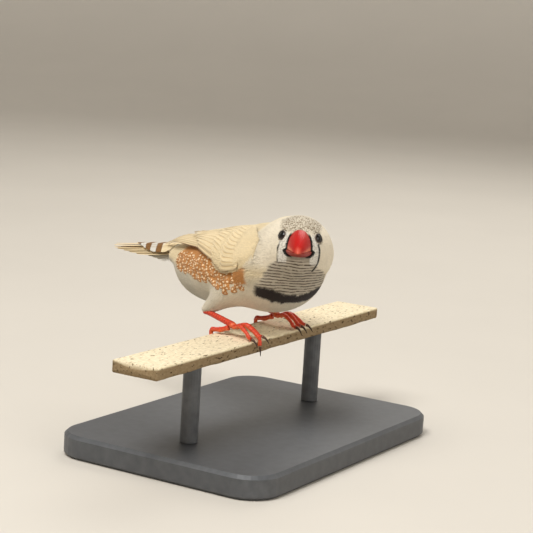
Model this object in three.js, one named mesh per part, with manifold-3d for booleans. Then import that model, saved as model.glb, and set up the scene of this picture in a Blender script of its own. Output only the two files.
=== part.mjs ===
// A male zebra finch of a pale strain, life size, perched on a cut length of flat lath that a plain display
// stand holds.
// Millimetres, +Z up. The bird is made in its own frame (x forward, y to its left, z up from the top of the
// lath)
// and turned onto the lath, which runs along X. The group's origin is the middle of its box at the floor.
import * as THREE from 'three';
import { mergeVertices } from 'three/addons/utils/BufferGeometryUtils.js';
import Module from 'manifold-3d';

const wasm = await Module();
wasm.setup();

// Stand and lath
const LATH = { length: 124, width: 15.2, thick: 3.6, chip: 0.35, steps: 12 };
const BASE = { length: 104, width: 72, height: 7, corner: 9, bevel: 1 };
const ROD = { radius: 2.6, rise: 24, spread: 68, sides: 20 };
const LATH_TOP = BASE.height + ROD.rise + LATH.thick;
const GAP = 0.3; // face to face between pieces that touch

// Pose of the bird
const BODY_TURN = 20; // degrees its heading is turned from straight across the lath
const HEAD_YAW = -41; // head turned to its right
const HEAD_ROLL = 1.2; // left eye the lower
const SKULL = [19.6, -2.0, 29.6]; // middle of the skull in the bird's frame

// Swellings of the body: middle, half lengths, turn and rise of the long axis in degrees
const FORM = {
  blend: 5,
  trunk: [
    { at: [-11, 0, 18.1], half: [26, 11.7, 9.9], yaw: 0, pitch: 15 },
    { at: [7, 1.0, 18.9], half: [13.0, 13.4, 11.4], yaw: -8, pitch: 25 },
    { at: [-7, 0, 15.4], half: [18, 11.6, 8.4], yaw: 0, pitch: 4 },
    { at: [-31, 0, 17.4], half: [14, 6.8, 4.8], yaw: 0, pitch: 6 },
    { at: [-23.4, 0, 13.7], half: [12.4, 8.8, 7.2], yaw: 0, pitch: -9 },
    { at: [12.4, 0.2, 24.2], half: [10.6, 11.0, 9.9], yaw: -20, pitch: 33 },
  ],
};
const HEAD_FORM = [
  { f: -2.3, l: 0, u: 0, half: [8.5, 8.1, 8.0], pitch: 0 },
  { f: -2.2, l: 0, u: -3.4, half: [7.4, 8.9, 6.8], pitch: 0 },
  { f: 3.2, l: 0, u: -0.4, half: [5.2, 3.9, 5.5], pitch: -8 },
];

// Middle line of the flesh: point, turn and rise of the section there
const MIDLINE = [
  { at: [-37.0, 0, 17.4], yaw: 0, pitch: 2 },
  { at: [-24, 0, 17.2], yaw: 0, pitch: 6 },
  { at: [-10, 0, 18.2], yaw: 0, pitch: 14 },
  { at: [2, 0, 20.4], yaw: -4, pitch: 28 },
  { at: [11.6, -0.8, 24.2], yaw: -16, pitch: 44 },
  { at: [16.4, -1.4, 27.2], yaw: -32, pitch: 42 },
];
const NECK_FROM = 4; // stations where the neck and the head begin
const HEAD_FROM = 5;
const ROUND = 28; // sides of the flesh

// Bill
const BILL = { length: 10.4, base: 6.9, up: 0.8, droop: 3, rise: 4.4, drop: 3.2, half: 3.8, tip: -0.4,
  gape: -1.5, root: 2.4, bite: 0.93, over: 0.86, under: 0.94 }; // over, under: share of the width of each half
const BILL_STEPS = 9;
const BILL_ARC = 9;
const NOSTRIL = { radius: 0.55, along: 0.9, up: 2.6, out: 2.1 };

// Eyes and lids
const EYE = { radius: 1.75, f: 4.0, l: 4.35, u: 2.5, lid: 0.27, open: 62 };

// Legs and feet: side +1 is the left one; joints are on the lath in its own frame (along, across, up)
const FEET = [
  { side: -1, name: 'right', along: -12.0, turn: 2, over: 1.2 },
  { side: 1, name: 'left', along: 12.6, turn: -2, over: 0.2 },
];
const FOOT = { across: 1.2, height: 3.2, palm: 1.5, low: 2.4 }; // low: height of the hind toe's root
const TARSUS = { length: 13.6, rise: 1.9, out: 0.6, thick: 0.82 };
const THIGH = { start: 0.9, heel: 1.5, knee: 4.9, forward: 10, up: 8.6, in: 4.2 };
const TOES = [
  { n: 1, spread: -3, aside: 0, arch: -1.2, more: 0.2, thick: 0.8, back: true },
  { n: 2, spread: -18, aside: 1.1, arch: 1.0, more: -0.9, thick: 0.66, back: false },
  { n: 3, spread: 1, aside: 0, arch: 1.4, more: 0, thick: 0.72, back: false },
  { n: 4, spread: 19, aside: -1.1, arch: 1.0, more: -0.8, thick: 0.64, back: false },
];
const CLAW = { length: 2.9, thick: 0.5 };

// Wings: the chart runs back along the body and round it from the ridge of the back
const WING = { front: 11.5, tip: -47, clear: 0.45, coreEnd: -17, coreSteps: 9, across: 8, rows: 7 };
const VANE = { thick: 0.5, tipThick: 0.3, overlap: 0.36, tilt: 0.5, wide: 1.03, varied: 0.0618 };
// Tiers of the wing from the tips forward: height out from the body, rows counted up from the lower edge,
// roots and tips along it
const WING_TIERS = [
  { name: 'primaries', lie: 1.25, stations: 5, rows: [0, 1, 2, 3, 4], root: [-13, -13, -13, -13, -13],
    tip: [-47, -44.4, -41.4, -38, -34.4] },
  { name: 'secondaries', lie: 1.85, stations: 4, rows: [0, 1, 2, 3, 4, 5, 6],
    root: [-3, -3, -3, -3, -3, -3, -3], tip: [-19, -22, -25, -27.6, -29.6, -30.6, -28.5] },
  { name: 'greater coverts', lie: 2.1, stations: 4, rows: [0, 1, 2, 3, 4, 5, 6],
    root: [2, 2, 2, 2, 2, 2, 2], tip: [-8, -9.4, -10.8, -12, -13, -13.6, -13.4] },
  { name: 'median coverts', lie: 2.2, stations: 4, rows: [0.5, 1.5, 2.5, 3.5, 4.5, 5.5],
    root: [6, 6, 6, 5.8, 5.4, 4.8], tip: [-2, -3, -4, -4.8, -5.6, -6] },
  { name: 'lesser coverts', lie: 2.1, stations: 4, rows: [0, 1, 2, 3, 4, 5],
    root: [9.4, 9.4, 9.2, 8.8, 8.2, 7.4], tip: [3.4, 2.8, 2, 1.2, 0.4, 0] },
];
const WING_WEDGE = { at: [-33, 0, 17.6], half: [25, 8.0, 4.6], yaw: 0, pitch: 5 };

// Tail
const TAIL = {
  root: -37.3, tip: -79, rootHeight: 20.4, tipHeight: 14.1, roof: 13,
  pairs: 6, step: 1.7, spread: 0.4, layer: 0.38, blade: 2.4, over: 0.62,
  upper: [-62, -56.5, -51], under: [-60, -54, -48],
  coreEnd: -47, coreUp: 1.6, coreDown: 3.6, coreHalf: 4.0,
};

const rad = THREE.MathUtils.degToRad;
const vec = (x, y, z) => new THREE.Vector3(x, y, z);
const mix = (a, b, t) => a + (b - a) * t;
const clamp = THREE.MathUtils.clamp;
const smooth = (t) => { const x = clamp(t, 0, 1); return x * x * (3 - 2 * x); };

// A number between -1 and 1 from a whole number, the same each time.
function vary(n) {
  const s = Math.sin(n * 127.1 + 311.7) * 43758.5453;
  return 2 * (s - Math.floor(s)) - 1;
}

// A value read off a row of [position, value] pairs.
function profile(rows, t) {
  for (let i = 1; i < rows.length; i++)
    if (t <= rows[i][0]) {
      const w = clamp((t - rows[i - 1][0]) / (rows[i][0] - rows[i - 1][0]), 0, 1);
      return mix(rows[i - 1][1], rows[i][1], w);
    }
  return rows[rows.length - 1][1];
}

// Frame of a swelling or a section: forward, left and up axes from a turn and a rise in degrees.
function axesOf(yaw, pitch) {
  const forward = vec(Math.cos(rad(yaw)) * Math.cos(rad(pitch)), Math.sin(rad(yaw)) * Math.cos(rad(pitch)),
    Math.sin(rad(pitch)));
  const left = vec(-Math.sin(rad(yaw)), Math.cos(rad(yaw)), 0);
  return { forward, left, up: forward.clone().cross(left) };
}

// Head frame: f forward, l to the left, u up, from the middle of the skull.
const headAxes = axesOf(HEAD_YAW, 0);
headAxes.left.applyAxisAngle(headAxes.forward, -rad(HEAD_ROLL));
headAxes.up.applyAxisAngle(headAxes.forward, -rad(HEAD_ROLL));
function headPoint(f, l, u) {
  return vec(...SKULL).addScaledVector(headAxes.forward, f).addScaledVector(headAxes.left, l)
    .addScaledVector(headAxes.up, u);
}

function swelling({ at, half, yaw, pitch }) {
  return { middle: vec(...at), half, ...axesOf(yaw, pitch) };
}
const headSwellings = HEAD_FORM.map(({ f, l, u, half, pitch }) => {
  const m = headPoint(f, l, u);
  return swelling({ at: [m.x, m.y, m.z], half, yaw: HEAD_YAW, pitch });
});
const fleshForm = [...FORM.trunk.map(swelling), ...headSwellings];
const wingForm = [...fleshForm, swelling(WING_WEDGE)];

// Signed depth of a point in the blended swellings, negative inside.
const q = vec(0, 0, 0);
function depth(p, form) {
  let out = null;
  for (const s of form) {
    q.copy(p).sub(s.middle);
    const [a, b, c] = s.half;
    const f = q.dot(s.forward), l = q.dot(s.left), u = q.dot(s.up);
    const k0 = Math.hypot(f / a, l / b, u / c);
    const k1 = Math.hypot(f / (a * a), l / (b * b), u / (c * c)) + 1e-9;
    const d = (k0 * (k0 - 1)) / k1;
    if (out === null) out = d;
    else {
      const h = Math.max(FORM.blend - Math.abs(out - d), 0) / FORM.blend;
      out = Math.min(out, d) - (h * h * FORM.blend) / 4;
    }
  }
  return out;
}

// Point where a ray from inside leaves the form grown by `level`.
function cast(from, way, level, form) {
  const at = (r) => from.clone().addScaledVector(way, r);
  let near = 0, far = 0;
  while (far < 60 && depth(at(far), form) < level) { near = far; far += 0.8; }
  for (let i = 0; i < 16; i++) {
    const middle = (near + far) / 2;
    if (depth(at(middle), form) < level) near = middle; else far = middle;
  }
  return at((near + far) / 2);
}

// Closed surface through rings of points, each end closed by a fan.
function loft(rings) {
  const m = rings[0].length, points = rings.flat(), faces = [];
  for (let i = 0; i + 1 < rings.length; i++)
    for (let j = 0; j < m; j++) {
      const a = i * m + j, b = i * m + ((j + 1) % m);
      faces.push([a, b, b + m], [a, b + m, a + m]);
    }
  for (const [ring, turned] of [[0, true], [rings.length - 1, false]]) {
    const hub = points.length, base = ring * m;
    points.push(rings[ring].reduce((s, p) => s.add(p), vec(0, 0, 0)).divideScalar(m));
    for (let j = 0; j < m; j++) {
      const a = base + j, b = base + ((j + 1) % m);
      faces.push(turned ? [hub, b, a] : [hub, a, b]);
    }
  }
  return closed(points, faces);
}

// Geometry of a closed surface, turned so that its faces point out.
function closed(points, faces) {
  let volume = 0;
  for (const [a, b, c] of faces) volume += points[a].dot(points[b].clone().cross(points[c]));
  const order = volume < 0 ? faces.map(([a, b, c]) => [a, c, b]) : faces;
  const geometry = new THREE.BufferGeometry();
  geometry.setAttribute('position', new THREE.Float32BufferAttribute(points.flatMap((p) =>
    [p.x, p.y, p.z]), 3));
  geometry.setIndex(order.flat());
  return geometry;
}

function solid(geometry) {
  const bare = geometry.clone();
  bare.deleteAttribute('normal');
  bare.deleteAttribute('uv');
  const merged = mergeVertices(bare, 1e-4);
  return new wasm.Manifold(new wasm.Mesh({
    numProp: 3,
    vertProperties: new Float32Array(merged.attributes.position.array),
    triVerts: new Uint32Array(merged.index.array),
  }));
}

// Geometry of a solid's largest closed surface.
function surface(body) {
  const pieces = body.decompose().sort((a, b) => b.volume() - a.volume());
  const mesh = pieces[0].getMesh();
  const geometry = new THREE.BufferGeometry();
  geometry.setAttribute('position', new THREE.BufferAttribute(new Float32Array(mesh.vertProperties), 3));
  geometry.setIndex(new THREE.BufferAttribute(new Uint32Array(mesh.triVerts), 1));
  return geometry;
}

// Flesh
const middleCurve = new THREE.CatmullRomCurve3(MIDLINE.map((s) => vec(...s.at)), false, 'centripetal');
function station(k) {
  const last = MIDLINE.length - 1, i = Math.min(Math.floor(k), last - 1), w = k - i;
  return {
    at: middleCurve.getPoint(k / last),
    ...axesOf(mix(MIDLINE[i].yaw, MIDLINE[i + 1].yaw, w), mix(MIDLINE[i].pitch, MIDLINE[i + 1].pitch, w)),
  };
}

function ringAt({ at, forward, left, up }, tilt, level, push) {
  const from = at.clone().addScaledVector(forward, push);
  return Array.from({ length: ROUND }, (_, j) => {
    const turn = (2 * Math.PI * j) / ROUND;
    const way = up.clone().multiplyScalar(Math.cos(turn)).addScaledVector(left, Math.sin(turn))
      .multiplyScalar(Math.cos(tilt)).addScaledVector(forward, Math.sin(tilt));
    return cast(from, way, level, fleshForm);
  });
}

// Rings of the flesh between two stations, the first moved back or forward by `push` to leave a parting.
function fleshRings(from, to, steps, { push = 0, level = 0, face = 0 } = {}) {
  const rings = [];
  for (let i = 0; i <= steps; i++) rings.push(ringAt(station(mix(from, to, steps ? i / steps : 0)), 0,
    level, i === 0 ? push : 0));
  for (let i = 1; i <= face; i++) rings.push(ringAt(station(to), (Math.PI / 2) * (i / (face + 0.4)), level,
    push));
  return rings;
}

function torsoGeometry(level = 0) {
  return loft(fleshRings(0, NECK_FROM, 18, { level }));
}

function neckGeometry() {
  return loft(fleshRings(NECK_FROM, HEAD_FROM, 3, { push: GAP }));
}

function headGeometry() {
  let body = solid(loft(fleshRings(HEAD_FROM, HEAD_FROM, 0, { push: GAP, face: 11 })));
  body = body.subtract(solid(billWhole(GAP)));
  for (const side of [1, -1]) body = body.subtract(solid(ball(eyeMiddle(side), EYE.radius + GAP, 16, 10)))
    .subtract(solid(lidGeometry(side, GAP)));
  return surface(body);
}

function ball(at, radius, around, down) {
  return new THREE.SphereGeometry(radius, around, down).rotateX(Math.PI / 2).translate(at.x, at.y, at.z);
}

// Bill
function billPoint(x, y, z) {
  const turn = rad(BILL.droop);
  const f = x * Math.cos(turn) + z * Math.sin(turn), u = -x * Math.sin(turn) + z * Math.cos(turn);
  return headPoint(BILL.base + f, y, BILL.up + u);
}

// Half width, top, bottom and line of the mouth of the bill at a share t of its length.
function billAt(t) {
  const s = clamp(t, 0, 1), { tip } = BILL;
  return {
    half: BILL.half * Math.pow(1 - Math.pow(s, 1.55), 0.8) + 0.12,
    top: tip + (BILL.rise - tip) * Math.pow(1 - Math.pow(s, 1.75), 0.85) + 0.15,
    bottom: tip - (BILL.drop + tip) * Math.pow(1 - Math.pow(Math.min(s / BILL.bite, 1), 1.35), 0.8) - 0.1,
    mouth: tip + (BILL.gape - tip) * (1 - s) ** 2,
  };
}

// Half sections run from one edge of the mouth over the top (or under the chin) to the other.
function billHalf(upper, grow = 0) {
  const rings = [], x0 = -BILL.root, last = upper ? 1 : BILL.bite;
  for (let i = -1; i <= BILL_STEPS; i++) {
    const t = i < 0 ? 0 : last * Math.pow(i / BILL_STEPS, 0.9), a = billAt(t);
    const x = i < 0 ? x0 : t * BILL.length;
    const sink = i < 0 ? 0.8 : 1, edge = a.mouth + (upper ? GAP / 2 : -GAP / 2);
    const reach = (upper ? a.top - edge : edge - a.bottom) * sink + grow;
    const ring = [];
    for (let j = 0; j <= BILL_ARC; j++) {
      const turn = Math.PI * (j / BILL_ARC), c = Math.cos(turn), s = Math.sin(turn);
      const wide = (a.half * sink * (upper ? BILL.over : BILL.under) + grow) * Math.sign(c)
        * Math.pow(Math.abs(c), upper ? 0.9 : 0.8);
      ring.push(billPoint(x, wide, edge + (upper ? 1 : -1) * Math.max(reach, 0.12)
        * Math.pow(s, upper ? 0.95 : 0.85)));
    }
    rings.push(ring);
  }
  return loft(rings);
}

// The whole bill as one form, grown by `grow`, for the hollow it is set in.
function billWhole(grow) {
  const rings = [];
  for (let i = -1; i <= BILL_STEPS; i++) {
    const t = i < 0 ? 0 : i / BILL_STEPS, a = billAt(t), sink = i < 0 ? 0.8 : 1;
    const x = i < 0 ? -BILL.root - grow : t * BILL.length, middle = a.mouth;
    rings.push(Array.from({ length: 2 * BILL_ARC }, (_, j) => {
      const turn = (Math.PI * j) / BILL_ARC, c = Math.cos(turn), s = Math.sin(turn);
      const reach = (s > 0 ? a.top - middle : middle - a.bottom) * sink + grow;
      const share = s > 1e-6 ? BILL.over : BILL.under;
      return billPoint(x, (a.half * sink * share + grow) * Math.sign(c) * Math.pow(Math.abs(c), 0.85),
        middle + reach * Math.sign(s) * Math.pow(Math.abs(s), 0.9));
    }));
  }
  return loft(rings);
}

function upperBill() {
  let body = solid(billHalf(true));
  for (const side of [1, -1]) {
    const at = billPoint(NOSTRIL.along, side * NOSTRIL.out, NOSTRIL.up);
    body = body.subtract(solid(ball(at, NOSTRIL.radius, 10, 8)));
  }
  return surface(body);
}

// Eyes
function eyeMiddle(side) {
  return headPoint(EYE.f, side * EYE.l, EYE.u);
}

// Way out of the head at the eye: the slope of the depth there.
function eyeAxis(side) {
  const at = eyeMiddle(side), step = 0.05, here = depth(at, fleshForm);
  return vec(...[vec(step, 0, 0), vec(0, step, 0), vec(0, 0, step)]
    .map((d) => depth(at.clone().add(d), fleshForm) - here)).normalize();
}

// Rim of the two lids: a ring lying on the eyeball round its bare front, higher and lower than it is wide.
function lidGeometry(side, grow = 0) {
  const away = EYE.radius + GAP + EYE.lid, open = rad(EYE.open), section = [];
  for (let i = 0; i <= 6; i++) {
    const turn = (-2 * Math.PI * i) / 6;
    section.push(new THREE.Vector2(away * Math.sin(open) + (EYE.lid + grow) * Math.cos(turn),
      away * Math.cos(open) + (EYE.lid + grow) * Math.sin(turn)));
  }
  section[6].copy(section[0]);
  const ring = new THREE.LatheGeometry(section.reverse(), 18);
  const turn = new THREE.Quaternion().setFromUnitVectors(vec(0, 1, 0), eyeAxis(side));
  const at = eyeMiddle(side);
  return ring.applyQuaternion(turn).translate(at.x, at.y, at.z);
}

// Legs

// A point of the lath's frame in the bird's frame.
function birdPoint(along, across, up) {
  const a = rad(BODY_TURN);
  return vec(-along * Math.sin(a) - across * Math.cos(a), along * Math.cos(a) - across * Math.sin(a), up);
}

// Tapered tube of round section along a curve, its radius read at each share of the length.
function tube(points, radiusAt, steps, sides) {
  const curve = new THREE.CatmullRomCurve3(points, false, 'centripetal');
  const rings = [];
  const side = curve.getPoint(1).sub(curve.getPoint(0)).cross(vec(0, 0, 1));
  if (side.length() < 1e-3) side.set(1, 0, 0);
  side.normalize();
  for (let i = 0; i <= steps; i++) {
    const t = i / steps, tangent = curve.getTangent(t),
      out = side.clone().addScaledVector(tangent, -side.dot(tangent)).normalize();
    const over = tangent.clone().cross(out), at = curve.getPoint(t), r = radiusAt(t);
    rings.push(Array.from({ length: sides }, (_, j) => {
      const turn = (2 * Math.PI * (j + 0.5)) / sides;
      return at.clone().addScaledVector(out, r * Math.cos(turn)).addScaledVector(over, r * Math.sin(turn));
    }));
  }
  return loft(rings);
}

function legPoints(foot) {
  const palm = birdPoint(foot.along, FOOT.across, FOOT.height + 0.2);
  const heel = palm.clone().add(vec(-TARSUS.length, foot.side * TARSUS.out, TARSUS.rise));
  const knee = heel.clone().add(vec(THIGH.forward, -foot.side * THIGH.in, THIGH.up));
  const top = heel.clone().addScaledVector(heel.clone().sub(palm).normalize(), -0.5);
  return { palm, heel, knee, top };
}

// Middle line of a toe over the lath: along the top, then down past the edge, in the bird's coordinates.
function toeCurve(foot, toe) {
  const way = toe.back ? 1 : -1, slant = Math.tan(rad(foot.turn + toe.spread * foot.side * -way));
  const rest = toe.thick + GAP, aside = toe.aside * foot.side; // where it leaves the pad
  const start = FOOT.across + way * Math.sqrt(FOOT.palm ** 2 - aside ** 2);
  const over = (toe.back ? 1.4 : foot.over) + toe.more; // how far it bends down past the top
  const across = way * (LATH.width / 2 + (over > 0.4 ? rest : -0.3));
  const end = [1, over > 0.4 ? -over : rest * 0.95];
  const root = toe.back ? FOOT.low : FOOT.height - 0.1;
  const points = [
    [0, root],
    [0.35, Math.max(root + toe.arch * 0.7, rest)],
    [0.72, Math.max(root * 0.58 + toe.arch * 0.45, rest)],
    over > 0.4 ? [0.95, rest * 0.85] : [0.9, rest * 1.1],
    end,
  ];
  return points.map(([share, z]) => {
    const y = mix(start, across, share);
    return birdPoint(foot.along + aside * (1 - share) + slant * (across - FOOT.across) * share, y, z);
  });
}

function toeTube(foot, toe, grow = 0) {
  return tube(toeCurve(foot, toe), (t) => toe.thick * (1 - 0.2 * t)
    * (1 + 0.08 * Math.cos(t * 6 * Math.PI)) + grow, 9, 7);
}

// The toes beside the middle one are cut clear of it near the pad, and the hind toe clear of the shank
// above it.
function toeGeometry(foot, toe) {
  const { palm, top } = legPoints(foot);
  const body = solid(toeTube(foot, toe));
  if (toe.back) return surface(body.subtract(solid(shankTube(palm, top, GAP)))
    .subtract(solid(padGeometry(palm, GAP))));
  return toe.aside ? surface(body.subtract(solid(toeTube(foot, TOES.find((t) => t.n === 3), GAP))))
    : surface(body);
}

// Claw: a horn curving on down from the toe's tip and in towards the lath's side.
function clawGeometry(foot, toe) {
  const points = toeCurve(foot, toe), end = points[4];
  const down = end.clone().sub(points[3]).normalize(), out = birdPoint(0, toe.back ? 1 : -1, 0);
  const steep = clamp(-down.z, 0, 1), start = end.clone().addScaledVector(down, GAP * 1.2);
  const drop = vec(0, 0, -1).multiplyScalar(0.75).addScaledVector(down, 0.25).normalize();
  const path = [0, 0.3, 0.65, 1].map((t) => start.clone().addScaledVector(down, CLAW.length * 0.34 * t)
    .addScaledVector(out, (1 - steep) * 0.9 * Math.sin(t * Math.PI * 0.5))
      .addScaledVector(drop, CLAW.length * 0.62 * t * t));
  return tube(path, (t) => CLAW.thick * (1 - 0.82 * t), 5, 6);
}

function shankTube(palm, top, grow = 0) {
  return tube([top, top.clone().lerp(palm, 0.5), palm],
    (t) => TARSUS.thick * (t < 0.1 ? 1.25 : 1) * (1 + 0.15 * t) + grow, 8, 10);
}

// Scaled shank and the pad under the toes' roots as one piece.
function joinedTarsus(palm, top) {
  const shank = shankTube(palm, top);
  return surface(solid(shank).add(solid(padGeometry(palm))));
}

function thighTube(heel, knee) {
  const way = knee.clone().sub(heel).normalize();
  const path = [heel.clone().addScaledVector(way, THIGH.start), heel.clone().lerp(knee, 0.5), knee];
  return tube(path, (t) => mix(THIGH.heel, THIGH.knee, Math.pow(t, 0.8)), 5, 12);
}

function padGeometry(palm, grow = 0) {
  return new THREE.SphereGeometry(FOOT.palm - GAP + grow, 12, 8).scale(1, 0.95, 0.8)
    .translate(palm.x, palm.y, palm.z - 0.2);
}

// Wings
const wingAxis = (x) => profile([[-60, 15.6], [-37, 17.2], [-24, 17.6], [0, 19.4], [14, 22]], x);
function wingSurface(x, turn, level, side) {
  return cast(vec(x, 0, wingAxis(x)), vec(0, side * Math.sin(rad(turn)), Math.cos(rad(turn))), level,
    wingForm);
}
const wingTop = (t) => profile([[0, 50], [0.12, 26], [0.3, 10], [0.7, 8], [0.85, 14], [1, 34]], t);
const wingLow = (t) => profile([[0, 78], [0.1, 92], [0.22, 94], [0.33, 80], [0.45, 70], [0.56, 62],
  [0.8, 57], [1, 54]], t);

// A point of the wing: x along the body, row counted up from the wing's lower edge, level out from the body.
function wingPoint(x, row, level, side) {
  const t = (x - WING.front) / (WING.tip - WING.front);
  return wingSurface(x, mix(wingLow(t), wingTop(t), row / WING.rows), Math.max(level, WING.clear), side);
}

const coreLevel = (x) => WING.clear + profile([[WING.coreEnd, 0.6], [-10, 0.9], [-2, 1.3], [6, 1.3],
  [WING.front, 0.6]], x);

// Core of the wing, which holds the roots and ends before half way to the tips.
function wingCore(side) {
  const rings = [];
  for (let i = 0; i <= WING.coreSteps; i++) {
    const x = mix(WING.front, WING.coreEnd, i / WING.coreSteps), ring = [];
    for (let j = 0; j <= WING.across; j++) {
      const w = j / WING.across;
      ring.push(wingPoint(x, WING.rows * w, mix(WING.clear + 0.5, coreLevel(x),
        Math.sin(Math.PI * clamp(w, 0.1, 0.9))), side));
    }
    for (let j = WING.across; j >= 0; j--) ring.push(wingPoint(x, (WING.rows * j) / WING.across,
      WING.clear, side));
    rings.push(ring);
  }
  return loft(rings);
}

// Closed vane through stations of four corners: first edge above, second edge above, second edge below,
// first edge below.
// Upper and lower faces are split the same way, so that a thin curved vane never crosses itself.
function vaneSolid(stations) {
  const points = stations.flat(), faces = [];
  for (let i = 0; i + 1 < stations.length; i++) {
    const a = 4 * i, b = a + 4;
    faces.push([a, a + 1, b + 1], [a, b + 1, b]);
    faces.push([a + 3, b + 2, a + 2], [a + 3, b + 3, b + 2]);
    faces.push([a + 1, a + 2, b + 2], [a + 1, b + 2, b + 1]);
    faces.push([a + 3, a, b], [a + 3, b, b + 3]);
  }
  const e = points.length - 4;
  faces.push([0, 3, 2], [0, 2, 1], [e, e + 1, e + 2], [e, e + 2, e + 3]);
  return solid(closed(points, faces));
}

// Half width and thickness of a vane at a share of its length.
const vaneWidth = (t) => profile([[0, 0.5], [0.2, 0.9], [0.55, 1], [0.85, 0.8], [1, 0.14]], t);
const vaneThick = (t) => mix(VANE.thick, VANE.tipThick, smooth((t - 0.7) / 0.3));
const SHARES = { 4: [0, 0.4, 0.8, 1], 5: [0, 0.3, 0.62, 0.87, 1] };

function wingVane(side, tier, i) {
  const row = tier.rows[i] + 0.5, seed = vary(i + 10 * tier.lie + (side > 0 ? 50 : 0));
  const tip = tier.tip[i] + 0.35 * seed, half = 0.5 * (1 + VANE.overlap) * (VANE.wide + VANE.varied * seed);
  return vaneSolid(SHARES[tier.stations].map((t) => {
    const x = mix(tier.root[i], tip, t), wide = half * vaneWidth(t), thick = vaneThick(t);
    const sunk = Math.min(coreLevel(x) - 0.3, tier.lie), level = mix(sunk, tier.lie, smooth(t / 0.75));
    const rise = (r) => (-VANE.tilt * r) / (0.5 * (1 + VANE.overlap)) * smooth(t / 0.5);
    const at = (r, above) => wingPoint(x, clamp(row + r, 0, WING.rows), level + rise(r) + above, side);
    return [at(wide, thick / 2), at(-wide, thick / 2), at(-wide, -thick / 2), at(wide, -thick / 2)];
  }));
}

function wingGeometry(side) {
  let body = solid(wingCore(side));
  for (const tier of WING_TIERS) tier.rows.forEach((_, i) => { body = body.add(wingVane(side, tier, i)); });
  return surface(body);
}

// Tail
// Middle line of the tail's top: height at a place along the body.
const tailHeight = (x) => mix(TAIL.rootHeight, TAIL.tipHeight, (x - TAIL.root) / (TAIL.tip - TAIL.root));

// A feather of the tail between two lines beside the middle, `down` below its top, its blade sloping down
// outwards.
function tailVane({ side, root, tip, inner, outer, down, slope, stations }) {
  return vaneSolid(SHARES[stations].map((t) => {
    const x = mix(root, tip, t), thick = vaneThick(t), wide = ((outer - inner) / 2) * vaneWidth(t);
    const middle = mix(0.6, (outer + inner) / 2, smooth(t / 0.45)), fall = Math.tan(rad(slope));
    const at = (l, above) => vec(x, side * (middle + l),
      tailHeight(x) - down * smooth(t / 0.4 + 0.3) - fall * Math.max(middle + l, 0) + above);
    return [at(-wide, thick / 2), at(wide, thick / 2), at(wide, -thick / 2), at(-wide, -thick / 2)];
  }));
}

function tailCore() {
  const rings = [];
  for (let i = 0; i <= 5; i++) {
    const t = i / 5, x = mix(TAIL.root, TAIL.coreEnd, t), up = mix(TAIL.coreUp, 0.5, t),
      down = mix(TAIL.coreDown, 2.2, t), wide = mix(TAIL.coreHalf, 2.2, t);
    rings.push(Array.from({ length: 12 }, (_, j) => {
      const turn = (2 * Math.PI * j) / 12, s = Math.sin(turn);
      return vec(x, wide * Math.cos(turn), tailHeight(x) - 1 + (s > 0 ? up : down) * s);
    }));
  }
  return loft(rings);
}

function tailGeometry() {
  const { root, tip, layer, roof, spread, blade } = TAIL;
  let body = solid(tailCore());
  const put = (options) => { body = body.add(tailVane({ stations: 5, slope: roof, root: root - 1.2,
    ...options })); };
  // The middle two lie one over the other, and the rest are in pairs under them.
  put({ side: 1, tip, inner: -1.5, outer: 2.4, down: 0, slope: 0 });
  put({ side: -1, tip: tip + 0.6, inner: -1.2, outer: 2.7, down: layer, slope: 4 });
  for (let k = 1; k < TAIL.pairs; k++)
    for (const side of [1, -1])
      put({ side, tip: tip + TAIL.step * k ** 1.4 + 0.4 * vary(k + side), inner: GAP / 2,
        outer: blade + spread * k, down: layer * (k + 1) });
  for (const side of [1, -1]) {
    TAIL.upper.forEach((end, k) => put({ side, tip: end + 0.4 * vary(k + 3 * side), inner: 0.2 + 1.3 * k,
      outer: 2.4 + k, down: -TAIL.over, stations: 4 }));
    TAIL.under.forEach((end, k) => put({ side, tip: end + 0.4 * vary(k + 5 * side), inner: GAP / 2,
      outer: 2.6 + 0.6 * k, down: layer * TAIL.pairs + TAIL.over * (1 + k), stations: 4 }));
  }
  return surface(body);
}

// Lath and stand
function lathGeometry() {
  const rings = [], w = LATH.width / 2, c = 0.35;
  for (let i = 0; i <= LATH.steps; i++) {
    const x = mix(-LATH.length / 2, LATH.length / 2, i / LATH.steps),
      chip = (k) => LATH.chip * (0.5 + 0.5 * vary(i * 7 + k));
    rings.push([vec(x, -w + c + chip(1), 0), vec(x, w - c, 0), vec(x, w, -c),
      vec(x, w - 0.3 * chip(2), -LATH.thick + c), vec(x, w - c, -LATH.thick),
      vec(x, -w + c + chip(3), -LATH.thick), vec(x, -w + chip(4), -LATH.thick + c),
        vec(x, -w, -c - chip(5))]);
  }
  return loft(rings).translate(0, 0, LATH_TOP);
}

function baseGeometry() {
  const { length: l, width: w, corner: r, height, bevel } = BASE, x = l / 2 - bevel, y = w / 2 - bevel;
  const outline = new THREE.Shape();
  outline.moveTo(-x + r, -y);
  outline.lineTo(x - r, -y).absarc(x - r, -y + r, r, -Math.PI / 2, 0, false);
  outline.lineTo(x, y - r).absarc(x - r, y - r, r, 0, Math.PI / 2, false);
  outline.lineTo(-x + r, y).absarc(-x + r, y - r, r, Math.PI / 2, Math.PI, false);
  outline.lineTo(-x, -y + r).absarc(-x + r, -y + r, r, Math.PI, 1.5 * Math.PI, false);
  const plate = new THREE.ExtrudeGeometry(outline, { depth: height - 2 * bevel, bevelEnabled: true,
    bevelSize: bevel, bevelThickness: bevel, bevelSegments: 1, curveSegments: 4 });
  return surface(solid(plate.translate(0, 0, bevel)));
}

function rodGeometry(along) {
  const rise = ROD.rise - 2 * GAP;
  return new THREE.CylinderGeometry(ROD.radius, ROD.radius, rise, ROD.sides).rotateX(Math.PI / 2)
    .translate(along, 0, BASE.height + GAP + rise / 2);
}

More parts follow.
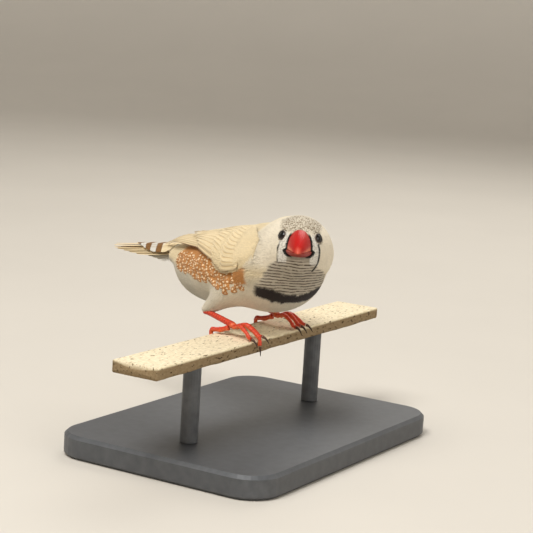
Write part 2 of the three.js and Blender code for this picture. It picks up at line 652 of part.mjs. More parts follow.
// Scene
const finish = (color, roughness) => new THREE.MeshStandardMaterial({ color, roughness, metalness: 0 });
const LOOK = {
  cream: finish(0xe6dcc6, 0.9),
  wing: finish(0xd9c7a4, 0.9),
  tail: finish(0xe9e2d4, 0.9),
  bill: finish(0xc8230f, 0.4),
  eye: finish(0x1c0b08, 0.15),
  lid: finish(0x7a5a4c, 0.7),
  leg: finish(0xd2562a, 0.6),
  claw: finish(0x4a3a33, 0.5),
  lath: finish(0xd8c9a4, 0.95),
  stand: finish(0x3d3f42, 0.6),
};

const group = new THREE.Group();
const bird = new THREE.Group();
bird.rotation.z = -rad(90 + BODY_TURN);
bird.position.z = LATH_TOP;
group.add(bird);

function add(parent, name, geometry, material) {
  const mesh = new THREE.Mesh(geometry, material);
  mesh.name = name;
  parent.add(mesh);
  return mesh;
}

add(bird, 'torso', torsoGeometry(), LOOK.cream);
add(bird, 'neck', neckGeometry(), LOOK.cream);
add(bird, 'head', headGeometry(), LOOK.cream);
add(bird, 'bill_upper', upperBill(), LOOK.bill);
add(bird, 'bill_lower', billHalf(false), LOOK.bill);
for (const [side, name] of [[1, 'left'], [-1, 'right']]) {
  const eye = add(bird, `eye_${name}`, new THREE.SphereGeometry(EYE.radius, 16, 10), LOOK.eye);
  eye.position.copy(eyeMiddle(side));
  add(bird, `lids_${name}`, surface(solid(lidGeometry(side))), LOOK.lid);
  add(bird, `wing_${name}`, wingGeometry(side), LOOK.wing);
}
add(bird, 'tail', tailGeometry(), LOOK.tail);
const torsoGrown = solid(torsoGeometry(GAP + 0.1));
for (const foot of FEET) {
  const { palm, heel, knee, top } = legPoints(foot);
  add(bird, `tarsus_${foot.name}`, joinedTarsus(palm, top), LOOK.leg);
  const thigh = solid(thighTube(heel, knee)).subtract(torsoGrown).subtract(solid(shankTube(palm, top, GAP)));
  add(bird, `thigh_${foot.name}`, surface(thigh), LOOK.cream);
  for (const toe of TOES) {
    add(bird, `toe_${toe.n}_${foot.name}`, toeGeometry(foot, toe), LOOK.leg);
    add(bird, `claw_${toe.n}_${foot.name}`, clawGeometry(foot, toe), LOOK.claw);
  }
}

add(group, 'perch', lathGeometry(), LOOK.lath);
add(group, 'stand_base', baseGeometry(), LOOK.stand);
add(group, 'stand_rod_1', rodGeometry(-ROD.spread / 2), LOOK.stand);
add(group, 'stand_rod_2', rodGeometry(ROD.spread / 2), LOOK.stand);

// The origin is the middle of the whole box, at the floor.
group.updateMatrixWorld(true);
const box = new THREE.Box3().setFromObject(group, true);
group.position.set(-(box.min.x + box.max.x) / 2, -(box.min.y + box.max.y) / 2, -box.min.z);

export default group;
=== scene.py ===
"""Life-size still model of a pale male zebra finch on a cut length of lath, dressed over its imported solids.

Lengths are in millimetres in the bird's own frame (x forward, y to its left, z up from the top of the lath)
until a piece is made, which turns them into metres in the row's frame.
"""

from __future__ import annotations

import logging
import math
from dataclasses import dataclass, field
from enum import Enum
from typing import Callable

import bpy
import numpy as np
from mathutils import Matrix, Vector


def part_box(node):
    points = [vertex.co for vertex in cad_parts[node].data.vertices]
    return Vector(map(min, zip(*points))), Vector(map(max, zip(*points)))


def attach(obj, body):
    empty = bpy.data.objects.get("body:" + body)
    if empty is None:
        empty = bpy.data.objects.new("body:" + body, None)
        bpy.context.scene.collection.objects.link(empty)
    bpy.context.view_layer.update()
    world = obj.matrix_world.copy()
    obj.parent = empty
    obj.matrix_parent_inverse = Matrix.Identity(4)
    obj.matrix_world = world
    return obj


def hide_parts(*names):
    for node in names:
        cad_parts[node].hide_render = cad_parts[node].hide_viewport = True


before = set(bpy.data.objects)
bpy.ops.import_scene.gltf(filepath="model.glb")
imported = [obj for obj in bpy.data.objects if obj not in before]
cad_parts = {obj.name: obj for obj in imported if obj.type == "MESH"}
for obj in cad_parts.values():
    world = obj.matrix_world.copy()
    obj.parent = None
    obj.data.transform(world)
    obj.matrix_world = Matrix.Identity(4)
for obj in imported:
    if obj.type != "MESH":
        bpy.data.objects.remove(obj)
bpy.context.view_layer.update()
LOG = logging.getLogger("finch")
MM = 0.001
Array = np.ndarray
Measure = Callable[[Array], Array]
Tree, Socket, Node = bpy.types.ShaderNodeTree, bpy.types.NodeSocket, bpy.types.Node


# Small helpers


def srgb(red: int, green: int, blue: int) -> Array:
    """Linear colour of an everyday 0 to 255 colour."""
    share = np.array([red, green, blue]) / 255.0
    return np.where(share <= 0.04045, share / 12.92, ((share + 0.055) / 1.055) ** 2.4)


def smooth(share: Array | float) -> Array:
    """Soft step from 0 to 1."""
    t = np.clip(share, 0.0, 1.0)
    return t * t * (3.0 - 2.0 * t)


def rises(value: Array | float, start: Array | float, reach: float) -> Array:
    """Soft step from 0 at a start to 1 a reach beyond it."""
    return smooth((value - start) / reach)


def falls(value: Array | float, end: Array | float, reach: float) -> Array:
    """Soft step down from 1 a reach before an end to 0 at it."""
    return smooth((end - value) / reach)


def unit(vectors: Array) -> Array:
    """Vectors of length one."""
    return vectors / (np.linalg.norm(vectors, axis=-1, keepdims=True) + 1e-12)


def blend_rows(low: Array, high: Array, share: Array) -> Array:
    """Row by row mix of two colours or points."""
    return low + (high - low) * np.asarray(share)[..., None]


def axes_of(yaw: float, pitch: float) -> Array:
    """Forward, left and up axes of a frame.

    Args:
        yaw: Turn about the vertical in degrees.
        pitch: Rise of the forward axis in degrees.

    Returns:
        A 3 by 3 array with one axis a row.
    """
    a, b = math.radians(yaw), math.radians(pitch)
    forward = np.array([math.cos(a) * math.cos(b), math.sin(a) * math.cos(b), math.sin(b)])
    left = np.array([-math.sin(a), math.cos(a), 0.0])
    return np.array([forward, left, np.cross(forward, left)])


def turned(vector: Array, axis: Array, angle: float) -> Array:
    """A vector turned about an axis by an angle in radians."""
    c, s = math.cos(angle), math.sin(angle)
    return vector * c + np.cross(axis, vector) * s + axis * (axis @ vector) * (1.0 - c)


def merged(one: Array, other: Array, blend: float) -> Array:
    """Depth of two forms that run together over a reach."""
    near = np.maximum(blend - np.abs(one - other), 0.0) / blend
    return np.minimum(one, other) - near * near * blend / 4.0


def nearest(points: Array, low: Array, high: Array) -> tuple[Array, Array]:
    """Share along a straight stretch nearest to each point, and the place there."""
    reach = high - low
    share = np.clip((points - low) @ reach / (reach @ reach), 0, 1)
    return share, low + share[..., None] * reach


@dataclass(frozen=True)
class Profile:
    """A measure that changes in straight stretches between stops.

    Args:
        stops: Where the stops are.
        values: The measure at each.
    """

    stops: tuple[float, ...]
    values: tuple[float, ...]

    def __call__(self, place: Array | float) -> Array:
        """The measure at each place."""
        return np.interp(place, self.stops, self.values)


# Where the bird stands


@dataclass(frozen=True)
class Stance:
    """Place of the bird's own frame in the row's frame, read from the lath."""

    turn: float = 20.0
    lath_width: float = 15.2

    def origin(self) -> Array:
        """Middle of the lath's top in the row's frame, in millimetres."""
        low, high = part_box("perch")
        return np.array([(low.x + high.x) / 2 / MM, high.y / MM - self.lath_width / 2, high.z / MM])

    def to_row(self, points: Array) -> Array:
        """Points of the bird's frame in metres of the row's frame."""
        a = -math.radians(90.0 + self.turn)
        c, s = math.cos(a), math.sin(a)
        x, y, z = points[..., 0], points[..., 1], points[..., 2]
        return (np.stack([x * c - y * s, x * s + y * c, z], -1) + self.origin()) * MM

    def lath_to_row(self, points: Array) -> Array:
        """Points along, across and up from the lath in metres of the row's frame."""
        return (points + self.origin()) * MM

    def from_lath(self, along: float, across: float, up: float) -> Array:
        """A point along, across and up from the lath in the bird's frame."""
        a = math.radians(self.turn)
        return np.array(
            [
                -along * math.sin(a) - across * math.cos(a),
                along * math.cos(a) - across * math.sin(a),
                up,
            ]
        )


STANCE = Stance()


# The bird's form as blended swellings


@dataclass(frozen=True)
class Swelling:
    """One rounded mass of the body."""

    at: tuple[float, float, float]
    half: tuple[float, float, float]
    yaw: float = 0.0
    pitch: float = 0.0


@dataclass(frozen=True)
class HeadFrame:
    """Frame of the skull: f forward, l to the left, u up."""

    skull: tuple[float, float, float] = (19.6, -2.0, 29.6)
    yaw: float = -41.0
    roll: float = 1.2

    def axes(self) -> Array:
        """The three axes, one a row."""
        forward, left, up = axes_of(self.yaw, 0.0)
        roll = -math.radians(self.roll)
        return np.array([forward, turned(left, forward, roll), turned(up, forward, roll)])

    def point(self, f: float, l: float, u: float) -> Array:
        """A point of the skull's frame in the bird's."""
        return np.array(self.skull) + np.array([f, l, u]) @ self.axes()

    def inside(self, points: Array) -> Array:
        """Points of the bird's frame in the skull's."""
        return (points - np.array(self.skull)) @ self.axes().T


HEAD = HeadFrame()


@dataclass
class Form:
    """Signed depth of blended swellings, negative inside.

    Args:
        swellings: The rounded masses.
        blend: Reach over which two masses run together.
    """

    swellings: list[Swelling]
    blend: float = 5.0
    parts: list[tuple[Array, Array, Array]] = field(init=False)

    def __post_init__(self) -> None:
        """Works out the axes of each swelling."""
        self.parts = [
            (np.array(s.at), np.array(s.half), axes_of(s.yaw, s.pitch)) for s in self.swellings
        ]

    def depth(self, points: Array) -> Array:
        """Depth at each point.

        Args:
            points: Any array of points, its last axis x, y and z.

        Returns:
            The depths, with that axis gone.
        """
        out = None
        for middle, half, axes in self.parts:
            local = (points - middle) @ axes.T
            k0 = np.linalg.norm(local / half, axis=-1)
            k1 = np.linalg.norm(local / half**2, axis=-1) + 1e-9
            here = k0 * (k0 - 1.0) / k1
            out = here if out is None else merged(out, here, self.blend)
        return out


def slope(depth: Measure, points: Array) -> Array:
    """Way out of a form at each point, of length one.

    Args:
        depth: The form's depth.
        points: The points.

    Returns:
        One vector a point.
    """
    step = 0.02
    rows = [depth(points + step * e) - depth(points - step * e) for e in np.eye(3)]
    return unit(np.stack(rows, -1))


def settle(
    depth: Measure,
    points: Array,
    level: Array | float,
    rounds: int = 2,
) -> Array:
    """Points moved along the slope until they lie at a level.

    Args:
        depth: The form's depth.
        points: The points.
        level: The depth wanted, one for all or one a point.
        rounds: How often the move is repeated.

    Returns:
        The moved points.
    """
    for _ in range(rounds):
        points = points - slope(depth, points) * (depth(points) - level)[..., None]
    return points


def cast(form: Form, start: Array, way: Array, level: Array) -> Array:
    """Points where rays from inside a form leave it, grown by a level.

    Args:
        form: The form.
        start: Start of each ray.
        way: Direction of each ray, of length one.
        level: How far out from the form each ray goes.

    Returns:
        One point a ray.
    """
    near = np.zeros(len(start))
    live = np.ones(len(start), bool)
    stride = 0.8
    for _ in range(60):
        inside = form.depth(start[live] + way[live] * near[live, None]) < level[live]
        index = np.flatnonzero(live)
        near[index[inside]] += stride
        live[index[~inside]] = False
        if not live.any():
            break
    low, high = near - stride, near
    for _ in range(12):
        middle = (low + high) / 2
        inside = form.depth(start + way * middle[:, None]) < level
        low, high = np.where(inside, middle, low), np.where(inside, high, middle)
    return start + way * high[:, None]


TRUNK = [
    Swelling((-11.0, 0.0, 18.1), (26.0, 11.7, 9.9), 0.0, 15.0),
    Swelling((7.0, 1.0, 18.9), (13.0, 13.4, 11.4), -8.0, 25.0),
    Swelling((-7.0, 0.0, 15.4), (18.0, 11.6, 8.4), 0.0, 4.0),
    Swelling((-31.0, 0.0, 17.4), (14.0, 6.8, 4.8), 0.0, 6.0),
    Swelling((-23.4, 0.0, 13.7), (12.4, 8.8, 7.2), 0.0, -9.0),
    Swelling((12.4, 0.2, 24.2), (10.6, 11.0, 9.9), -20.0, 33.0),
]
SKULL = [
    Swelling(tuple(HEAD.point(-2.3, 0.0, 0.0)), (8.5, 8.1, 8.0), HEAD.yaw),
    Swelling(tuple(HEAD.point(-2.2, 0.0, -3.4)), (7.4, 8.9, 6.8), HEAD.yaw),
    Swelling(tuple(HEAD.point(3.2, 0.0, -0.4)), (5.2, 3.9, 5.5), HEAD.yaw, -8.0),
]
WEDGE = Swelling((-33.0, 0.0, 17.6), (25.0, 8.0, 4.6), 0.0, 5.0)
BODY = Form(TRUNK + SKULL)
UNDER_WING = Form(TRUNK + SKULL + [WEDGE])


# Meshes


class Slot(Enum):
    """Names of the finishes."""

    PLUMAGE = "plumage"
    WING = "wing_feathers"
    TAIL = "tail_feathers"
    BILL = "bill"
    EYE = "eye"
    LID = "lid"
    LEG = "leg_scales"
    CLAW = "claw"
    LATH = "lath"
    BASE = "stand_base"
    ROD = "stand_rod"


@dataclass
class Shell:
    """A mesh being gathered: points, faces of one size each, and what each point carries.

    Args:
        points: Points in the bird's frame.
        faces: Arrays of faces, each with three or four corners a row.
        tint: Colour of each point.
        marks: Shares of barring, speckle and spots at each point.
        vane: Place of each point across and along its feather.
        patch: Place of each point on the sheet that its colours are kept on.
        normals: Way that the light sees each point face.
    """

    points: Array
    faces: list[Array]
    tint: Array | None = None
    marks: Array | None = None
    vane: Array | None = None
    patch: Array | None = None
    normals: Array | None = None


def gather(shells: list[Shell]) -> Shell:
    """Several shells as one.

    Args:
        shells: Shells that carry the same things.

    Returns:
        The joined shell.
    """
    offsets = np.cumsum([0] + [len(s.points) for s in shells])
    faces: dict[int, list[Array]] = {}
    for shell, offset in zip(shells, offsets):
        for rows in shell.faces:
            faces.setdefault(rows.shape[1], []).append(rows + offset)

    def both(name: str) -> Array | None:
        """What every shell carries under a name, if all do."""
        rows = [getattr(s, name) for s in shells]
        return None if any(r is None for r in rows) else np.concatenate(rows)

    return Shell(
        np.concatenate([s.points for s in shells]),
        [np.concatenate(rows) for rows in faces.values()],
        both("tint"),
        both("marks"),
        both("vane"),
        both("patch"),
        both("normals"),
    )


def outward(shell: Shell) -> Shell:
    """The shell with its faces turned out, by the sign of its volume."""
    volume = 0.0
    for rows in shell.faces:
        p = shell.points - shell.points.mean(0)
        for k in range(1, rows.shape[1] - 1):
            a, b, c = p[rows[:, 0]], p[rows[:, k]], p[rows[:, k + 1]]
            volume += float(np.einsum("ij,ij->i", a, np.cross(b, c)).sum())
    if volume < 0:
        shell.faces = [rows[:, ::-1] for rows in shell.faces]
    return shell


def rings_to_faces(rings: int, sides: int, closed: bool = True) -> Array:
    """Four-cornered faces between rings of points.

    Args:
        rings: Number of rings, one after another.
        sides: Points in each.
        closed: Whether the last point of a ring joins its first.

    Returns:
        The faces.
    """
    i, j = np.meshgrid(np.arange(rings - 1), np.arange(sides if closed else sides - 1), indexing="ij")
    a = i * sides + j
    b = i * sides + (j + 1) % sides
    return np.stack([a, b, b + sides, a + sides], -1).reshape(-1, 4)


def loft(rings: Array) -> Shell:
    """Closed surface through rings of points, with a fan at each end.

    Args:
        rings: Array of rings, points in a ring, and x, y, z.

    Returns:
        The shell.
    """
    count, sides = rings.shape[:2]
    points = rings.reshape(-1, 3)
    hubs = np.stack([rings[0].mean(0), rings[-1].mean(0)])
    j = np.arange(sides)
    k = (j + 1) % sides
    first = np.stack([np.full(sides, count * sides), k, j], -1)
    last = np.stack([np.full(sides, count * sides + 1), (count - 1) * sides + j, (count - 1) * sides + k], -1)
    return outward(Shell(np.concatenate([points, hubs]), [rings_to_faces(count, sides), first, last]))


def curve_points(knots: Array, steps: int) -> Array:
    """Points along a smooth open curve through knots, spaced evenly by knot.

    Args:
        knots: The points it passes through.
        steps: Number of stretches in all.

    Returns:
        steps + 1 points.
    """
    ends = np.concatenate([[2 * knots[0] - knots[1]], knots, [2 * knots[-1] - knots[-2]]])
    out = []
    for share in np.linspace(0, len(knots) - 1, steps + 1):
        i = min(int(share), len(knots) - 2)
        w = share - i
        p0, p1, p2, p3 = ends[i : i + 4]
        d0, d1, d2 = (max(np.linalg.norm(b - a) ** 0.5, 1e-4) for a, b in ((p0, p1), (p1, p2), (p2, p3)))
        m1 = ((p1 - p0) / d0 - (p2 - p0) / (d0 + d1) + (p2 - p1) / d1) * d1
        m2 = ((p2 - p1) / d1 - (p3 - p1) / (d1 + d2) + (p3 - p2) / d2) * d1
        out.append(
            (2 * w**3 - 3 * w**2 + 1) * p1
            + (w**3 - 2 * w**2 + w) * m1
            + (3 * w**2 - 2 * w**3) * p2
            + (w**3 - w**2) * m2
        )
    return np.array(out)


def tube(
    knots: Array, radius: Callable[[Array, Array], Array], steps: int, sides: int
) -> Shell:
    """Tube along a curve, its radius read at each share of its length and round it.

    Args:
        knots: Points of its middle line.
        radius: Radius at a share of the length and an angle, 0 to the side and a quarter turn on top.
        steps: Stretches along it.
        sides: Points round it.

    Returns:
        The shell.
    """
    line = curve_points(knots, steps)
    ahead = unit(np.gradient(line, axis=0))
    side = np.cross(line[-1] - line[0], [0.0, 0.0, 1.0])
    side = np.array([1.0, 0.0, 0.0]) if np.linalg.norm(side) < 1e-3 else unit(side)
    out = unit(side - ahead * (ahead @ side)[:, None])
    over = np.cross(out, ahead)
    turn = 2 * np.pi * (np.arange(sides) + 0.5) / sides
    share = np.linspace(0, 1, steps + 1)
    r = radius(share[:, None], turn[None, :])[..., None]
    ring = out[:, None] * np.cos(turn)[None, :, None] + over[:, None] * np.sin(turn)[None, :, None]
    shell = loft(line[:, None] + ring * r)
    around = np.concatenate([np.broadcast_to(turn / (2 * np.pi), (steps + 1, sides)).ravel(), [0.5, 0.5]])
    along = np.concatenate([np.broadcast_to(share[:, None], (steps + 1, sides)).ravel(), [0.0, 1.0]])
    shell.vane = np.stack([around, along], -1)
    return shell


def make_piece(
    name: str,
    shell: Shell,
    finish: "Finish",
    slot: Slot,
    stands_for: tuple[str, ...] = (),
    on_lath: bool = False,
) -> bpy.types.Object:
    """Makes a shell into a piece that rides on the body.

    Args:
        name: Name of the piece.
        shell: Its mesh.
        finish: What it is finished in.
        slot: Not used.
        stands_for: Nodes that it takes the place of.
        on_lath: Whether the points are given along, across and up from the lath.

    Returns:
        The object.
    """
    place = STANCE.lath_to_row if on_lath else STANCE.to_row
    mesh = bpy.data.meshes.new(name)
    corners = np.concatenate([f.ravel() for f in shell.faces]).astype(np.int32)
    sizes = np.concatenate([np.full(len(f), f.shape[1]) for f in shell.faces])
    starts = np.concatenate([[0], np.cumsum(sizes)[:-1]]).astype(np.int32)
    mesh.vertices.add(len(shell.points))
    mesh.vertices.foreach_set("co", place(shell.points).astype(np.float32).ravel())
    mesh.loops.add(len(corners))
    mesh.loops.foreach_set("vertex_index", corners)
    mesh.polygons.add(len(sizes))
    mesh.polygons.foreach_set("loop_start", starts)
    mesh.polygons.foreach_set("use_smooth", np.ones(len(sizes), bool))
    for label, values in (("Tint", shell.tint), ("Marks", shell.marks)):
        if values is not None:
            rows = np.ones((len(values), 4), np.float32)
            rows[:, :3] = values
            mesh.color_attributes.new(label, "FLOAT_COLOR", "POINT").data.foreach_set("color", rows.ravel())
    for label, values in (("OFBake", shell.patch), ("Vane", shell.vane)):
        if values is not None:
            layer = mesh.uv_layers.new(name=label)
            layer.data.foreach_set("uv", values[corners].astype(np.float32).ravel())
    mesh.update(calc_edges=True)
    mesh.validate()
    if shell.normals is not None:
        turned_ways = place(shell.points + shell.normals) - place(shell.points)
        mesh.normals_split_custom_set_from_vertices(unit(turned_ways).astype(np.float32))
    mesh.materials.append(finish.material())
    piece = bpy.data.objects.new(name, mesh)
    bpy.context.scene.collection.objects.link(piece)
    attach(piece, "root")
    if stands_for:
        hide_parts(*stands_for)
    LOG.info("%s: %d points, %d faces", name, len(shell.points), len(sizes))
    return piece


# Finishes


def link(tree: Tree, source: Socket, target: Socket) -> None:
    """Joins two sockets."""
    tree.links.new(source, target)


def put(node: Node, **values: float | str | tuple[float, ...]) -> None:
    """Sets a node's inputs, with underscores for the spaces in their names."""
    for label, value in values.items():
        node.inputs[label.replace("_", " ")].default_value = value


def maths(tree: Tree, kind: str, *values: Socket | float) -> Socket:
    """A Math node.

    Args:
        tree: Tree that it goes in.
        kind: Its operation.
        values: Sockets or numbers for its inputs.

    Returns:
        Its output.
    """
    node = tree.nodes.new("ShaderNodeMath")
    node.operation = kind
    for socket, value in zip(node.inputs, values):
        if isinstance(value, Socket):
            link(tree, value, socket)
        else:
            socket.default_value = value
    return node.outputs[0]


def mixed(
    tree: Tree,
    share: Socket | float,
    low: Socket | Array,
    high: Socket | Array,
    how: str = "MIX",
) -> Socket:
    """A colour mix.

    Args:
        tree: Tree that it goes in.
        share: How much of the second colour shows.
        low: First colour.
        high: Second colour.
        how: Blend type.

    Returns:
        Its output.
    """
    node = tree.nodes.new("ShaderNodeMix")
    node.data_type = "RGBA"
    node.blend_type = how
    for socket, value in ((node.inputs["Factor"], share), (node.inputs[6], low), (node.inputs[7], high)):
        if isinstance(value, Socket):
            link(tree, value, socket)
        elif isinstance(value, float):
            socket.default_value = value
        else:
            socket.default_value = (*value, 1.0)
    return node.outputs[2]


def noise(tree: Tree, where: Socket, scale: float, detail: float = 3.0) -> Socket:
    """Value of a Noise node at a scale in turns a metre."""
    node = tree.nodes.new("ShaderNodeTexNoise")
    put(node, Scale=scale, Detail=detail)
    link(tree, where, node.inputs["Vector"])
    return node.outputs["Fac"]


def between(tree: Tree, value: Socket, low: float, high: float) -> Socket:
    """A value stretched so that low becomes 0 and high becomes 1, held there."""
    node = tree.nodes.new("ShaderNodeMapRange")
    put(node, From_Min=low, From_Max=high)
    link(tree, value, node.inputs["Value"])
    return node.outputs[0]


def new_group(name: str, inputs: dict[str, str], outputs: dict[str, str]) -> Tree:
    """An empty node group with named sockets.

    Args:
        name: Its name.
        inputs: Kind of socket for each input.
        outputs: Kind of socket for each output.

    Returns:
        The group, with its input and output nodes in place.
    """
    tree = bpy.data.node_groups.new(name, "ShaderNodeTree")
    for label, kind in inputs.items():
        tree.interface.new_socket(name=label, in_out="INPUT", socket_type=kind)
    for label, kind in outputs.items():
        tree.interface.new_socket(name=label, in_out="OUTPUT", socket_type=kind)
    tree.nodes.new("NodeGroupInput")
    tree.nodes.new("NodeGroupOutput")
    return tree


FLOAT, COLOUR, VECTOR = "NodeSocketFloat", "NodeSocketColor", "NodeSocketVector"


@dataclass
class Effects:
    """Node groups that several finishes share, each built once."""

    built: dict[str, Tree] = field(default_factory=dict)

    def get(self, name: str) -> Tree:
        """A group by name, built at its first use."""
        if name not in self.built:
            self.built[name] = getattr(self, name)()
        return self.built[name]

    def mottle(self) -> Tree:
        """Cloudy change of a colour's brightness, such as any natural surface has."""
        tree = new_group(
            "Mottle",
            {"Colour": COLOUR, "Place": VECTOR, "Scale": FLOAT, "Strength": FLOAT},
            {"Colour": COLOUR},
        )
        given, out = tree.nodes["Group Input"], tree.nodes["Group Output"]
        cloud = tree.nodes.new("ShaderNodeTexNoise")
        put(cloud, Detail=4.0)
        link(tree, given.outputs["Place"], cloud.inputs["Vector"])
        link(tree, given.outputs["Scale"], cloud.inputs["Scale"])
        swing = maths(tree, "MULTIPLY", maths(tree, "SUBTRACT", cloud.outputs["Fac"], 0.5), 2.0)
        gain = maths(tree, "MULTIPLY_ADD", swing, given.outputs["Strength"], 1.0)
        scaled = tree.nodes.new("ShaderNodeVectorMath")
        scaled.operation = "SCALE"
        link(tree, given.outputs["Colour"], scaled.inputs[0])
        link(tree, gain, scaled.inputs["Scale"])
        link(tree, scaled.outputs[0], out.inputs["Colour"])
        return tree

    def barring(self) -> Tree:
        """Fine wavy dark bars across the throat, with flecks on the crown, where the marks say."""
        tree = new_group(
            "Barring and flecks",
            {"Colour": COLOUR, "Dark": COLOUR, "Fleck": COLOUR, "Marks": COLOUR, "Place": VECTOR},
            {"Colour": COLOUR},
        )
        given, out = tree.nodes["Group Input"], tree.nodes["Group Output"]
        place = given.outputs["Place"]
        height = tree.nodes.new("ShaderNodeSeparateXYZ")
        link(tree, place, height.inputs[0])
        marks = tree.nodes.new("ShaderNodeSeparateColor")
        link(tree, given.outputs["Marks"], marks.inputs[0])
        wander = maths(tree, "MULTIPLY", noise(tree, place, BARS.wander_scale, 2.0), BARS.wander)
        phase = maths(tree, "MULTIPLY_ADD", height.outputs["Z"], 2 * math.pi / (BARS.pitch * MM), wander)
        wave = between(tree, maths(tree, "SINE", phase), BARS.edge_low, BARS.edge_high)
        broken = between(tree, noise(tree, place, BARS.break_scale, 2.0), 0.28, 0.5)
        bars = maths(tree, "MULTIPLY", maths(tree, "MULTIPLY", wave, broken), marks.outputs["Red"])
        fine = between(tree, noise(tree, place, BARS.fleck_scale, 2.0), 0.46, 0.56)
        flecks = maths(tree, "MULTIPLY", fine, marks.outputs["Green"])
        barred = mixed(tree, bars, given.outputs["Colour"], given.outputs["Dark"])
        link(tree, mixed(tree, flecks, barred, given.outputs["Fleck"]), out.inputs["Colour"])
        return tree

    def barbs(self) -> Tree:
        """Fine slanting barbs on a vane, as a height and a mask of the shaft."""
        tree = new_group(
            "Barbs",
            {"Vane": VECTOR, "Count": FLOAT, "Slant": FLOAT},
            {"Height": FLOAT, "Shaft": FLOAT},
        )
        given, out = tree.nodes["Group Input"], tree.nodes["Group Output"]
        parts = tree.nodes.new("ShaderNodeSeparateXYZ")
        link(tree, given.outputs["Vane"], parts.inputs[0])
        aside = maths(tree, "ABSOLUTE", maths(tree, "SUBTRACT", parts.outputs["X"], 0.5))
        back = maths(tree, "MULTIPLY", given.outputs["Slant"], -1.0)
        along = maths(tree, "MULTIPLY_ADD", aside, back, parts.outputs["Y"])
        wave = maths(tree, "SINE", maths(tree, "MULTIPLY", along, given.outputs["Count"]))
        link(tree, wave, out.inputs["Height"])
        link(tree, between(tree, aside, 0.05, 0.015), out.inputs["Shaft"])
        return tree


@dataclass(frozen=True)
class Barring:
    """Measures of the fine bars on the throat, its scales in turns a metre."""

    pitch: float = 0.92
    wander: float = 7.0
    wander_scale: float = 260.0
    break_scale: float = 700.0
    fleck_scale: float = 2300.0
    edge_low: float = -0.1
    edge_high: float = 0.85


BARS = Barring()
EFFECTS = Effects()


@dataclass(frozen=True)
class Finish:
    """What every finish has: a name, a roughness and a way to build its material."""

    name: str
    roughness: float

    def material(self) -> bpy.types.Material:
        """The material, built at its first use."""
        found = bpy.data.materials.get(self.name)
        if found is not None:
            return found
        made = bpy.data.materials.new(self.name)
        made.use_nodes = True
        tree = made.node_tree
        shader = tree.nodes["Principled BSDF"]
        put(shader, Roughness=self.roughness)
        self.dress(tree, shader)
        return made

    def dress(self, tree: Tree, shader: Node) -> None:
        """Adds the finish's own nodes."""
        raise NotImplementedError

    def place(self, tree: Tree) -> Socket:
        """Place on the object, in metres."""
        return tree.nodes.new("ShaderNodeTexCoord").outputs["Object"]

    def attribute(self, tree: Tree, label: str) -> Socket:
        """Colour that the mesh carries under a name."""
        node = tree.nodes.new("ShaderNodeAttribute")
        node.attribute_name = label
        return node.outputs["Color"]

    def vane(self, tree: Tree) -> Socket:
        """Place across and along a feather."""
        node = tree.nodes.new("ShaderNodeUVMap")
        node.uv_map = "Vane"
        return node.outputs["UV"]

    def group(self, tree: Tree, name: str, **values: object) -> Node:
        """A shared effect placed in this material.

        Args:
            tree: The material's tree.
            name: The effect's name.
            values: What its inputs take, with underscores for spaces.

        Returns:
            The group node.
        """
        node = tree.nodes.new("ShaderNodeGroup")
        node.node_tree = EFFECTS.get(name)
        for label, value in values.items():
            socket = node.inputs[label.replace("_", " ")]
            if isinstance(value, Socket):
                link(tree, value, socket)
            elif isinstance(value, Array):
                socket.default_value = (*value, 1.0)
            else:
                socket.default_value = value
        return node

    def clouded(
        self, tree: Tree, shader: Node, colour: Socket | Array, scale: float, strength: float
    ) -> None:
        """Lets a colour with a slight mottle be the base colour."""
        place = self.place(tree)
        node = self.group(tree, "mottle", Colour=colour, Place=place, Scale=scale, Strength=strength)
        link(tree, node.outputs["Colour"], shader.inputs["Base Color"])

    def bump(
        self, tree: Tree, shader: Node, height: Socket, distance: float, strength: float
    ) -> None:
        """Lets a height change over the surface show in the light."""
        node = tree.nodes.new("ShaderNodeBump")
        put(node, Distance=distance, Strength=strength)
        link(tree, height, node.inputs["Height"])
        link(tree, node.outputs["Normal"], shader.inputs["Normal"])


@dataclass(frozen=True)
class CoatFinish(Finish):
    """Soft feathers whose markings the mesh carries."""

    mottle: float = 0.07

    def dress(self, tree: Tree, shader: Node) -> None:
        """Adds barring, flecks and a slight mottle."""
        marked = self.group(
            tree,
            "barring",
            Colour=self.attribute(tree, "Tint"),
            Dark=COLOURS.bar_dark,
            Fleck=COLOURS.crown_fleck,
            Marks=self.attribute(tree, "Marks"),
            Place=self.place(tree),
        )
        self.clouded(tree, shader, marked.outputs["Colour"], 900.0, self.mottle)
        put(shader, Sheen_Weight=0.12, Sheen_Roughness=0.6, Specular_IOR_Level=0.22)


@dataclass(frozen=True)
class VaneFinish(Finish):
    """Flight and tail feathers: the mesh's tint, fine barbs and a shaft."""

    barbs: float = 150.0

    def dress(self, tree: Tree, shader: Node) -> None:
        """Adds barbs, the shaft and a slight mottle."""
        barbs = self.group(tree, "barbs", Vane=self.vane(tree), Count=self.barbs, Slant=0.5)
        tint = self.attribute(tree, "Tint")
        shaft = mixed(tree, 1.0, tint, COLOURS.shaft, "MULTIPLY")
        self.clouded(tree, shader, mixed(tree, barbs.outputs["Shaft"], tint, shaft), 600.0, 0.06)
        put(shader, Sheen_Weight=0.08, Specular_IOR_Level=0.25)
        self.bump(tree, shader, barbs.outputs["Height"], 0.00003, 0.35)


